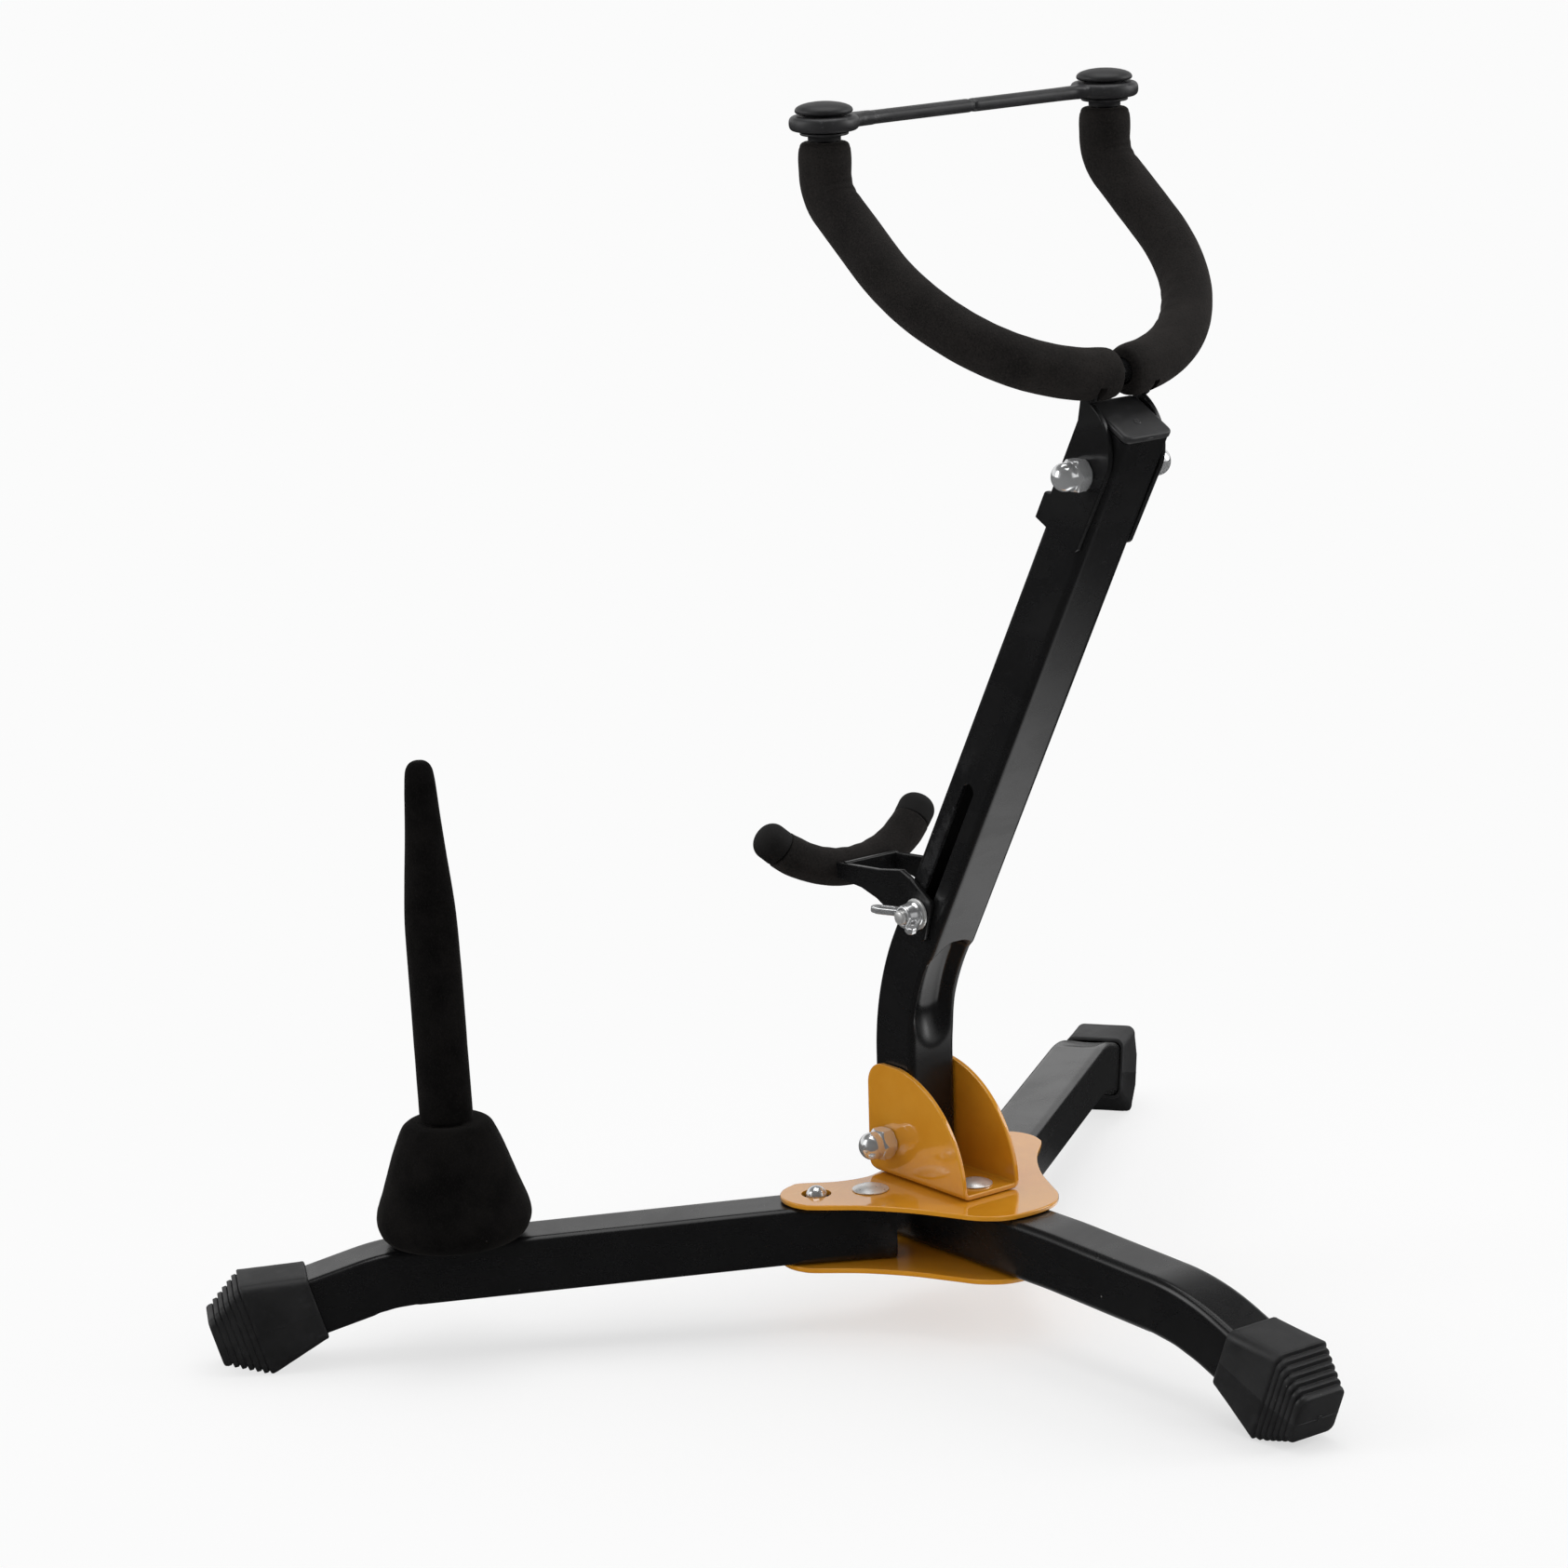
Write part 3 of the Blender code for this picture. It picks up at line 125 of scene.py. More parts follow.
RIGHT_RIVET = polar(LEG_ANGLE["right"], RIVET_OUT)
LEFT_RIVET = polar(-180 - LEG_ANGLE["right"], RIVET_OUT)
REAR_RIVET = Vector((0, 9.5, 0))


def leg_place(tag):
    """Maps (along, across, height) of a leg into the stand; the left one turns on its rivet."""
    turn = radians(LEG_ANGLE[tag])
    outward = polar(LEG_ANGLE[tag], 1.0)
    sideways = Vector((-sin(turn), cos(turn), 0))
    origin = LEFT_RIVET - outward * RIVET_OUT if tag == "left" else Vector((0, 0, 0))
    return lambda along, x, z: origin + outward * along + sideways * x + Vector((0, 0, z))


PLACE = {tag: leg_place(tag) for tag in LEG_ANGLE}
DETENT = {tag: PLACE[tag](DETENT_OUT, 0, 0) for tag in ("right", "left")}


# ------------------------------------------------------------------ node helpers
class Graph:
    """Adds nodes to one node tree. A value may be a number, a tuple or another node's output."""

    def __init__(self, tree):
        self.tree = tree

    def put(self, socket, value):
        if hasattr(value, "is_output"):
            self.tree.links.new(value, socket)
        else:
            socket.default_value = (*value, 1) if socket.type == 'RGBA' else value

    def new(self, kind, inputs, output=0, **settings):
        node = self.tree.nodes.new(kind)
        for key, value in settings.items():
            setattr(node, key, value)
        for key, value in inputs.items():
            self.put(node.inputs[key], value)
        return node.outputs[output]

    def ramp(self, value, over, to=(0.0, 1.0)):
        """Smooth step from to[0] to to[1] while the value crosses the range over."""
        return self.new("ShaderNodeMapRange",
                        {"Value": value, "From Min": over[0], "From Max": over[1],
                         "To Min": to[0], "To Max": to[1]}, interpolation_type='SMOOTHSTEP')

    def times(self, first, second):
        return self.new("ShaderNodeMath", {0: first, 1: second}, operation='MULTIPLY')

    def plus(self, first, second):
        return self.new("ShaderNodeMath", {0: first, 1: second}, operation='ADD')


class Surface(Graph):
    """One principled material; colour and normal grow layer by layer."""

    def __init__(self, name):
        self.material = bpy.data.materials.new(name)
        self.material.use_nodes = True
        super().__init__(self.material.node_tree)
        self.coords = self.new("ShaderNodeTexCoord", {}, "Object")
        self.colour = self.normal = None

    def noise(self, scale, detail=3, rough=0.6, distortion=0.0, vector=None):
        return self.new("ShaderNodeTexNoise",
                        {"Scale": scale, "Detail": detail, "Roughness": rough,
                         "Distortion": distortion, "Vector": vector or self.coords})

    def cells(self, scale):
        return self.new("ShaderNodeTexVoronoi", {"Scale": scale, "Vector": self.coords})

    def stretch(self, x, y, z):
        return self.new("ShaderNodeMapping", {"Vector": self.coords, "Scale": (x, y, z)})

    def edges(self, over):
        return self.ramp(self.new("ShaderNodeNewGeometry", {}, "Pointiness"), over)

    def specks(self, scale, size, patch_scale, patches):
        """Sparse dots; patches is the range of a broad noise that lets them show."""
        dots = self.cells(scale)
        patch = self.noise(scale=patch_scale, detail=1, rough=0.5)
        return self.times(self.ramp(dots, size), self.ramp(patch, patches))

    def mix(self, mask, under, over):
        return self.new("ShaderNodeMix", {0: mask, 6: under, 7: over}, 2, data_type='RGBA')

    def tint(self, mask, colour, amount=None):
        if amount is not None:
            mask = self.times(mask, amount)
        self.colour = self.mix(mask, self.colour, colour)

    def bump(self, height, depth, strength):
        inputs = {"Strength": strength, "Distance": depth, "Height": height}
        if self.normal is not None:
            inputs["Normal"] = self.normal
        self.normal = self.new("ShaderNodeBump", inputs)

    def finish(self, **values):
        shader = self.tree.nodes["Principled BSDF"]
        for key, value in values.items():
            self.put(shader.inputs[key.replace("_", " ")], value)
        self.put(shader.inputs["Base Color"], self.colour)
        self.put(shader.inputs["Normal"], self.normal)
        return self.material


def shade(colour, factor, lift=0.0):
    return tuple(factor * channel + lift for channel in colour)


# ------------------------------------------------------------------ materials
def powder_black():
    """Satin black with fine grain, a few dust specks, rubbed edges and smears."""
    mat = Surface("powder_coat_black")
    cloud = mat.noise(scale=38, detail=4)
    grain = mat.noise(scale=2600, detail=2, rough=0.5)
    mat.colour = mat.mix(cloud, (0.0050, 0.0050, 0.0053), (0.0090, 0.0090, 0.0094))
    mat.tint(mat.ramp(grain, over=(0.60, 0.78)), (0.030, 0.030, 0.031), amount=0.35)
    dust = mat.specks(scale=150, size=(0.055, 0.028), patch_scale=21, patches=(0.60, 0.66))
    mat.tint(dust, (0.22, 0.21, 0.20), amount=0.75)
    rubbed = mat.ramp(mat.noise(scale=95, detail=5, rough=0.7), over=(0.44, 0.60))
    edge = mat.times(mat.edges(over=(0.53, 0.62)), rubbed)
    mat.tint(edge, (0.055, 0.055, 0.057), amount=0.30)
    smear = mat.noise(scale=26, detail=5, rough=0.65, distortion=0.6,
                      vector=mat.stretch(1.0, 1.0, 2.4))
    dusty = mat.times(dust, 0.4)
    rough = mat.plus(mat.ramp(smear, over=(0.30, 0.72), to=(0.20, 0.31)), dusty)
    rough = mat.plus(rough, mat.times(grain, 0.05))
    # orange peel, then grain
    mat.bump(mat.noise(scale=300, detail=2, rough=0.5), depth=0.000006, strength=0.12)
    mat.bump(grain, depth=0.000001, strength=0.25)
    return mat.finish(Roughness=rough, IOR=1.47, Specular_IOR_Level=0.42,
                      Coat_Weight=0.10, Coat_Roughness=0.12)


def amber_enamel():
    """Glossy amber paint, paler on the rims, with small dark chips and scuffs."""
    mat = Surface("amber_enamel")
    cloud = mat.noise(scale=45, detail=4)
    mat.colour = mat.mix(mat.ramp(cloud, over=(0.3, 0.7)),
                         (0.640, 0.262, 0.0150), (0.690, 0.300, 0.0210))
    fine = mat.noise(scale=1900, detail=2, rough=0.5)
    mat.tint(mat.ramp(fine, over=(0.58, 0.80)), (0.52, 0.20, 0.010), amount=0.18)
    mat.tint(mat.edges(over=(0.515, 0.585)), (0.74, 0.37, 0.045), amount=0.35)
    chipped = mat.ramp(mat.noise(scale=420, detail=4, rough=0.7), over=(0.64, 0.70))
    chip = mat.times(mat.edges(over=(0.56, 0.64)), chipped)
    mat.tint(chip, (0.20, 0.085, 0.012), amount=0.7)
    scuff = mat.ramp(mat.noise(scale=900, vector=mat.stretch(1.0, 0.12, 1.0)), over=(0.60, 0.74))
    scuff = mat.times(scuff, mat.ramp(mat.noise(scale=33), over=(0.56, 0.70)))
    rough = mat.plus(mat.ramp(cloud, over=(0.3, 0.75), to=(0.075, 0.145)),
                     mat.times(scuff, 0.22))
    mat.bump(mat.noise(scale=380, detail=2, rough=0.5), depth=0.000028, strength=0.42)
    mat.bump(fine, depth=0.000004, strength=0.5)
    return mat.finish(Roughness=rough, IOR=1.5, Coat_Weight=0.9, Coat_Roughness=0.035,
                      Coat_IOR=1.5)


def plated(name, tone, rough, metal, stain=0.25, brushed=0.0):
    """Bright metal with cloudy stains, pits and paler edges; rough is a range."""
    mat = Surface(name)
    cloud = mat.noise(scale=260, detail=4)
    stained = mat.times(mat.ramp(cloud, over=(0.45, 0.8)), stain)
    mat.colour = mat.mix(stained, tone, shade(tone, 0.62))
    mat.tint(mat.ramp(mat.cells(1400), over=(0.16, 0.08)), (0.16, 0.15, 0.14), amount=0.5)
    mat.tint(mat.edges(over=(0.54, 0.64)), (0.95, 0.95, 0.95), amount=0.25)
    rough = mat.ramp(mat.noise(scale=420, detail=4, rough=0.65), over=(0.3, 0.75), to=rough)
    if brushed:
        mat.bump(mat.noise(scale=900, vector=mat.stretch(0.10, 1.0, 3.0)),
                 depth=0.000012, strength=brushed)
    mat.bump(mat.noise(scale=1500), depth=0.000007, strength=0.5)
    return mat.finish(Metallic=metal, Roughness=rough)


def foam():
    """Matt black open-cell foam with lint."""
    dark, light = (0.0072, 0.0064, 0.0060), (0.0145, 0.0127, 0.0118)
    mat = Surface("foam_black")
    cloud = mat.noise(scale=70, detail=5, rough=0.62)
    grain = mat.noise(scale=1500, detail=4, rough=0.7)
    mat.colour = mat.mix(mat.ramp(cloud, over=(0.28, 0.75)), dark, light)
    mat.tint(mat.ramp(grain, over=(0.42, 0.72)), shade(light, 1.8), amount=0.55)
    pores = mat.cells(1150)
    mat.tint(mat.ramp(pores, over=(0.30, 0.10)), (0.0025, 0.0022, 0.0020), amount=0.75)
    lint = mat.specks(scale=190, size=(0.050, 0.025), patch_scale=17, patches=(0.57, 0.63))
    mat.tint(lint, (0.20, 0.18, 0.165), amount=0.8)
    mat.bump(pores, depth=0.000110, strength=0.65)
    mat.bump(grain, depth=0.000050, strength=0.6)
    mat.bump(mat.noise(scale=330), depth=0.000085, strength=0.5)
    return mat.finish(Roughness=mat.ramp(grain, over=(0.3, 0.7), to=(0.82, 0.98)), IOR=1.35,
                      Specular_IOR_Level=0.3, Sheen_Weight=0.07, Sheen_Roughness=0.45,
                      Sheen_Tint=(0.50, 0.44, 0.40))


def flock():
    """Very dark flocking: upright fibres, a brushed nap and lint."""
    mat = Surface("flocked_black")
    cloud = mat.noise(scale=85, detail=4)
    fibre = mat.noise(scale=3300, rough=0.7, vector=mat.stretch(1.0, 1.0, 0.35))
    nap = mat.noise(scale=150, detail=4, rough=0.65, distortion=0.8)
    mat.colour = mat.mix(mat.ramp(cloud, over=(0.3, 0.7)),
                         (0.0022, 0.0020, 0.0019), (0.0052, 0.0046, 0.0043))
    mat.tint(mat.ramp(fibre, over=(0.52, 0.76)), (0.014, 0.0125, 0.0118), amount=0.6)
    mat.tint(mat.ramp(nap, over=(0.55, 0.75)), (0.0105, 0.0092, 0.0086), amount=0.25)
    lint = mat.specks(scale=120, size=(0.035, 0.018), patch_scale=19, patches=(0.55, 0.61))
    mat.tint(lint, (0.26, 0.25, 0.24), amount=0.85)
    mat.bump(fibre, depth=0.000120, strength=0.8)
    mat.bump(mat.noise(scale=900), depth=0.000090, strength=0.55)
    mat.bump(nap, depth=0.000110, strength=0.35)
    return mat.finish(Roughness=0.97, IOR=1.3, Specular_IOR_Level=0.2, Sheen_Weight=0.10,
                      Sheen_Roughness=0.35, Sheen_Tint=(0.36, 0.33, 0.31))


def rubber(name, tone, rough, chalk, grain_mm=0.03, specular=0.45):
    """Rubber or plastic with a chalky bloom, worn edges and specks; rough is a range."""
    mat = Surface(name)
    cloud = mat.noise(scale=60, detail=5, rough=0.65)
    grain = mat.noise(scale=1700)
    mat.colour = mat.mix(mat.ramp(cloud, over=(0.28, 0.74)), shade(tone, 0.78),
                         shade(tone, 1.25))
    bloom = mat.noise(scale=140, detail=6, rough=0.72, distortion=0.5)
    bloom = mat.times(mat.ramp(bloom, over=(0.52, 0.72)), chalk)
    mat.tint(bloom, shade(tone, 2.6, lift=0.004))
    worn = mat.ramp(mat.noise(scale=240, detail=4, rough=0.7), over=(0.40, 0.62))
    edge = mat.times(mat.edges(over=(0.52, 0.60)), worn)
    mat.tint(edge, shade(tone, 3.2, lift=0.006), amount=0.55)
    speck = mat.specks(scale=210, size=(0.045, 0.022), patch_scale=29, patches=(0.56, 0.62))
    mat.tint(speck, (0.19, 0.185, 0.18), amount=0.7)
    rough = mat.plus(mat.ramp(cloud, over=(0.25, 0.75), to=rough), mat.times(bloom, 0.22))
    mat.bump(grain, depth=grain_mm * 0.001, strength=0.5)
    mat.bump(mat.noise(scale=310, rough=0.55), depth=0.00006, strength=0.30)
    return mat.finish(Roughness=rough, IOR=1.50, Specular_IOR_Level=specular)


BLACK = powder_black()
AMBER = amber_enamel()
CHROME = plated("chrome_plate", tone=(0.86, 0.87, 0.88), rough=(0.10, 0.20), metal=0.76)
CAST = plated("chrome_cast", tone=(0.84, 0.85, 0.86), rough=(0.10, 0.24), metal=0.80,
              stain=0.35)
ZINC = plated("zinc_steel", tone=(0.84, 0.84, 0.83), rough=(0.26, 0.42), metal=0.70,
              brushed=0.25)
# Near-black matt material for the tube's inner wall: painted shade, so the inside seen through
# the slot stays dark.
PAINTED_SHADE_INSIDE = rubber("tube_inside_painted_shade", tone=(0.0060, 0.0058, 0.0056), rough=(0.80, 0.95),
                chalk=0.15, specular=0.08)
SPRING = plated("spring_steel", tone=(0.46, 0.47, 0.49), rough=(0.22, 0.40), metal=1.0,
                stain=0.5, brushed=0.2)
FOAM = foam()
FLOCK = flock()
BOOT = rubber("rubber_boot", tone=(0.0135, 0.0135, 0.0142), rough=(0.44, 0.60), chalk=0.30)
STRAP = rubber("rubber_strap", tone=(0.0235, 0.0235, 0.0250), rough=(0.34, 0.50), chalk=0.22,
               grain_mm=0.018, specular=0.5)
KNOB = rubber("rubber_knob", tone=(0.0165, 0.0165, 0.0175), rough=(0.38, 0.54), chalk=0.25,
              grain_mm=0.018)
TIP = rubber("rubber_tip", tone=(0.0068, 0.0062, 0.0060), rough=(0.70, 0.88), chalk=0.15,
             specular=0.3)
PLASTIC = rubber("plastic_cap", tone=(0.0230, 0.0230, 0.0240), rough=(0.36, 0.54), chalk=0.42,
                 grain_mm=0.022, specular=0.5)


# ------------------------------------------------------------------ object helpers
def to_object(name, mesh, mat=None):
    """Turns a bmesh in millimetres into an object in the product's frame."""
    bmesh.ops.remove_doubles(mesh, verts=mesh.verts, dist=1e-4)
    bmesh.ops.recalc_face_normals(mesh, faces=mesh.faces)
    bmesh.ops.translate(mesh, vec=SHIFT, verts=mesh.verts)
    bmesh.ops.scale(mesh, vec=(MM, MM, MM), verts=mesh.verts)
    data = bpy.data.meshes.new(name)
    mesh.to_mesh(data)
    mesh.free()
    piece = bpy.data.objects.new(name, data)
    SCENE.collection.objects.link(piece)
    if mat is not None:
        data.materials.append(mat)
    return piece


def bake(piece):
    """Applies all modifiers and keeps the materials."""
    bpy.context.view_layer.update()
    graph = bpy.context.evaluated_depsgraph_get()
    data = bpy.data.meshes.new_from_object(piece.evaluated_get(graph),
                                           preserve_all_data_layers=False, depsgraph=graph)
    mats = list(piece.data.materials)
    piece.modifiers.clear()
    piece.data = data
    if not data.materials:
        for mat in mats:
            data.materials.append(mat)


def combine(piece, tool, operation='DIFFERENCE'):
    """One exact Boolean, applied at once; the tool goes away."""
    boolean = piece.modifiers.new("b", 'BOOLEAN')
    boolean.operation, boolean.solver, boolean.object = operation, 'EXACT', tool
    bake(piece)
    bpy.data.objects.remove(tool, do_unlink=True)


def soften(piece, width, angle, segs):
    bevel = piece.modifiers.new("edge", 'BEVEL')
    bevel.width, bevel.segments = width * MM, segs
    bevel.limit_method, bevel.angle_limit = 'ANGLE', radians(angle)
    bevel.use_clamp_overlap = True
    bake(piece)


def remesh(piece, voxel, iterations):
    """Melts joined solids into one soft skin."""
    grid = piece.modifiers.new("r", 'REMESH')
    grid.mode, grid.voxel_size, grid.adaptivity = 'VOXEL', voxel * MM, 0.0
    smooth = piece.modifiers.new("s", 'SMOOTH')
    smooth.factor, smooth.iterations = 0.5, iterations
    bake(piece)


def finish(piece, body, node=None, angle=40, weighted=False):
    data = piece.data
    data.polygons.foreach_set("use_smooth", [True] * len(data.polygons))
    data.set_sharp_from_angle(angle=radians(angle))
    if weighted:
        normals = piece.modifiers.new("normals", 'WEIGHTED_NORMAL')
        normals.keep_sharp = True
        normals.weight = 60
    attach(piece, body)
    if node:
        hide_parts(node)


# ------------------------------------------------------------------ outlines and paths
def smoothstep(low, high, x):
    part = min(1.0, max(0.0, (x - low) / (high - low)))
    return part * part * (3 - 2 * part)


def noise3(point, scale, seed):
    return noise.noise(Vector((point[0] * scale + seed, point[1] * scale - seed * 1.7,
                               point[2] * scale + seed * 0.6)))


def square_to(vector, axis):
    """The part of a vector square to an axis, as a unit vector."""
    return (vector - axis * vector.dot(axis)).normalized()


def arc(cx, cy, radius, start, end, steps):
    angles = [radians(start + (end - start) * i / steps) for i in range(steps + 1)]
    return [(cx + radius * cos(angle), cy + radius * sin(angle)) for angle in angles]


def squircle(cx, cy, half_w, half_h, count, power):
    """Oval drawn towards a rectangle; a smaller power is squarer."""
    points = []
    for i in range(count):
        x, y = cos(2 * pi * i / count), sin(2 * pi * i / count)
        points.append((cx + half_w * copysign(abs(x) ** power, x),
                       cy + half_h * copysign(abs(y) ** power, y)))
    return points


def rounded_rect(half_w, half_h, radius, steps, top, side=1, ridge=None):
    """Rounded rectangle; top and side are the columns on the flats.

    ridge = (height, out, half width) puts a mould line on both sides instead.
    """
    radius = min(radius, half_w * 0.98, half_h * 0.98)
    in_w, in_h = half_w - radius, half_h - radius
    centres = (in_w, in_h), (-in_w, in_h), (-in_w, -in_h), (in_w, -in_h)
    points = []
    for quarter, (cx, cy) in enumerate(centres):
        points += arc(cx, cy, radius, 90 * quarter, 90 * quarter + 90, steps)
        if quarter in (0, 2):
            y = half_h if quarter == 0 else -half_h
            points += [(cx - 2 * cx * i / (top + 1), y) for i in range(1, top + 1)]
            continue
        sign = -1 if quarter == 1 else 1
        if ridge:
            height, out, width = ridge
            points += [(sign * half_w, height - sign * width), (sign * (half_w + out), height),
                       (sign * half_w, height + sign * width)]
        else:
            points += [(sign * half_w, cy - 2 * cy * i / (side + 1))
                       for i in range(1, side + 1)]
    return points


def catmull(before, start, end, after, part):
    """Point between start and end on a smooth curve through four points."""
    return 0.5 * ((2 * start) + (end - before) * part
                  + (2 * before - 5 * start + 4 * end - after) * part * part
                  + (3 * start - before - 3 * end + after) * part ** 3)


def smooth_profile(table, steps):
    """Curve through (radius, height) stations."""
    points = [Vector(row) for row in table]
    out = []
    for i in range(len(points) - 1):
        after = points[min(len(points) - 1, i + 2)]
        for k in range(steps):
            spot = catmull(points[max(0, i - 1)], points[i], points[i + 1], after, k / steps)
            out.append((max(0.0, spot.x), spot.y))
    return out + [table[-1]]


def outline_normals(points):
    """Outward mitre vectors of a closed outline."""
    count = len(points)
    area = sum(points[i][0] * points[(i + 1) % count][1]
               - points[(i + 1) % count][0] * points[i][1] for i in range(count))
    sign = 1.0 if area > 0 else -1.0
    out = []
    for i in range(count):
        here = Vector(points[i])
        come = (here - Vector(points[i - 1])).normalized()
        leave = (Vector(points[(i + 1) % count]) - here).normalized()
        normal = Vector((come.y, -come.x)) * sign
        mitre = normal + Vector((leave.y, -leave.x)) * sign
        if mitre.length < 1e-6:
            mitre = normal
        mitre.normalize()
        out.append(mitre / max(0.45, mitre.dot(normal)))
    return out


def rounded_poly(points, radii, steps):
    """Polygon with rounded corners; radii is one number or one per corner."""
    out = []
    for i, point in enumerate(points):
        here, before = Vector(point), Vector(points[i - 1])
        after = Vector(points[(i + 1) % len(points)])
        radius = radii[i] if isinstance(radii, list) else radii
        to_before, to_after = (before - here).normalized(), (after - here).normalized()
        corner = to_before.angle(to_after)
        if radius < 1e-6 or corner > radians(176):
            out.append((here.x, here.y))
            continue
        cut = min(radius / tan(corner / 2), (before - here).length * 0.49,
                  (after - here).length * 0.49)
        radius = cut * tan(corner / 2)
        centre = here + (to_before + to_after).normalized() * (radius / sin(corner / 2))
        start, end = here + to_before * cut - centre, here + to_after * cut - centre
        angle = atan2(start.y, start.x)
        turn = (atan2(end.y, end.x) - angle + pi) % (2 * pi) - pi
        out += [(centre.x + radius * cos(angle + turn * k / steps),
                 centre.y + radius * sin(angle + turn * k / steps)) for k in range(steps + 1)]
    return out


def path_points(start, parts):
    """Flat path of (u, v, heading) from straights ('S', length, steps)
    and arcs ('A', radius, degrees, steps)."""
    u, v, heading = start
    out = [start]
    for kind, size, *rest in parts:
        if kind == 'S':
            steps = rest[0]
            u0, v0 = u, v
            for i in range(1, steps + 1):
                u = u0 + size * cos(heading) * i / steps
                v = v0 + size * sin(heading) * i / steps
                out.append((u, v, heading))
        else:
            turn, steps = radians(rest[0]), rest[1]
            sign = 1 if turn > 0 else -1
            for _ in range(steps):
                cu, cv = u - sign * size * sin(heading), v + sign * size * cos(heading)
                heading += turn / steps
                u, v = cu + sign * size * sin(heading), cv - sign * size * cos(heading)
                out.append((u, v, heading))
    return out


def path_lengths(points):
    run = [0.0]
    for i in range(1, len(points)):
        run.append(run[-1] + (points[i] - points[i - 1]).length)
    return run


def resample(points, step):
    """Even steps along a 3-D path."""
    run = path_lengths(points)
    count = max(2, int(run[-1] / step))
    out = []
    k = 0
    for i in range(count + 1):
        target = run[-1] * i / count
        while k < len(run) - 2 and run[k + 1] < target:
            k += 1
        part = (target - run[k]) / max(1e-9, run[k + 1] - run[k])
        out.append(points[k].lerp(points[k + 1], min(1.0, part)))
    return out


# ------------------------------------------------------------------ solids
def bridge(mesh, loops, close=False):
    for k in range(len(loops) if close else len(loops) - 1):
        near, far = loops[k], loops[(k + 1) % len(loops)]
        for i in range(len(near)):
            j = (i + 1) % len(near)
            mesh.faces.new((near[i], near[j], far[j], far[i]))


def loft(mesh, loops):
    """Skin over the loops, closed at both ends."""
    bridge(mesh, loops)
    mesh.faces.new(loops[0][::-1])
    mesh.faces.new(loops[-1])


def frame_from(axis, at):
    """Frame at a point with its Z along the axis."""
    turn = Vector(axis).normalized().to_track_quat('Z', 'Y').to_matrix().to_4x4()
    return Matrix.Translation(Vector(at)) @ turn


def circle(mesh, place, segs, z, radius_at):
    out = []
    for i in range(segs):
        angle = 2 * pi * i / segs
        radius = radius_at(angle)
        out.append(mesh.verts.new(place @ Vector((radius * cos(angle), radius * sin(angle), z))))
    return out


def spin(name, profile, place, segs, mat=None, ripple=None):
    """Body of revolution from (radius, height); ripple(angle, radius, z) adds to the radius.

    A profile with both ends on the axis stays open, any other one closes on itself.
    """
    mesh = bmesh.new()
    rings = []
    for radius, z in profile:
        if radius < 1e-6:
            rings.append([mesh.verts.new(place @ Vector((0, 0, z)))])
        else:
            rings.append(circle(mesh, place, segs, z, lambda angle: radius + (
                ripple(angle, radius, z) if ripple else 0.0)))
    on_axis = len(rings[0]) == 1 and len(rings[-1]) == 1
    for k in range(len(rings) - 1 if on_axis else len(rings)):
        low, high = rings[k], rings[(k + 1) % len(rings)]
        for i in range(segs):
            j = (i + 1) % segs
            if len(low) == 1 and len(high) > 1:
                mesh.faces.new((low[0], high[i], high[j]))
            elif len(high) == 1 and len(low) > 1:
                mesh.faces.new((low[i], high[0], low[j]))
            elif len(low) > 1:
                mesh.faces.new((low[i], high[i], high[j], low[j]))
    return to_object(name, mesh, mat)


def drill(piece, radius, low, high, place, segs=48):
    profile = [(0, low), (radius, low), (radius, high), (0, high)]
    combine(piece, spin("tool", profile, place, segs))


def cross_drill(piece, radius, at):
    """Hole along X, right through the stand."""
    drill(piece, radius, -40, 40, frame_from((1, 0, 0), at))


def slab(outline):
    """Cutter from a (y, z) outline, reaching 20 mm to either side."""
    mesh = bmesh.new()
    left, right = [[mesh.verts.new((x, y, z)) for y, z in outline] for x in (-20, 20)]
    mesh.faces.new(left[::-1])
    mesh.faces.new(right)
    bridge(mesh, [left, right])
    return to_object("tool", mesh)


def round_prism(name, points, low, high, axis, radius, mat, segs):
    """Extruded outline with rounded rims. Axis 'Z' takes (x, y), axis 'X' takes (y, z)."""
    normals = outline_normals(points)
    mesh = bmesh.new()

    def loop(height, inset):
        out = []
        for point, normal in zip(points, normals):
            first, second = point[0] - normal.x * inset, point[1] - normal.y * inset
            out.append(mesh.verts.new((first, second, height) if axis == 'Z'
                                      else (height, first, second)))
        return out
    rim = [(radius * (1 - cos(pi / 2 * i / segs)), radius * (1 - sin(pi / 2 * i / segs)))
           for i in range(segs + 1)]
    loops = [loop(low + rise, inset) for rise, inset in rim]
    loops += [loop(high - rise, inset) for rise, inset in rim[::-1]]
    bridge(mesh, loops)
    mesh.faces.new(loops[0])
    mesh.faces.new(loops[-1][::-1])
    return to_object(name, mesh, mat)


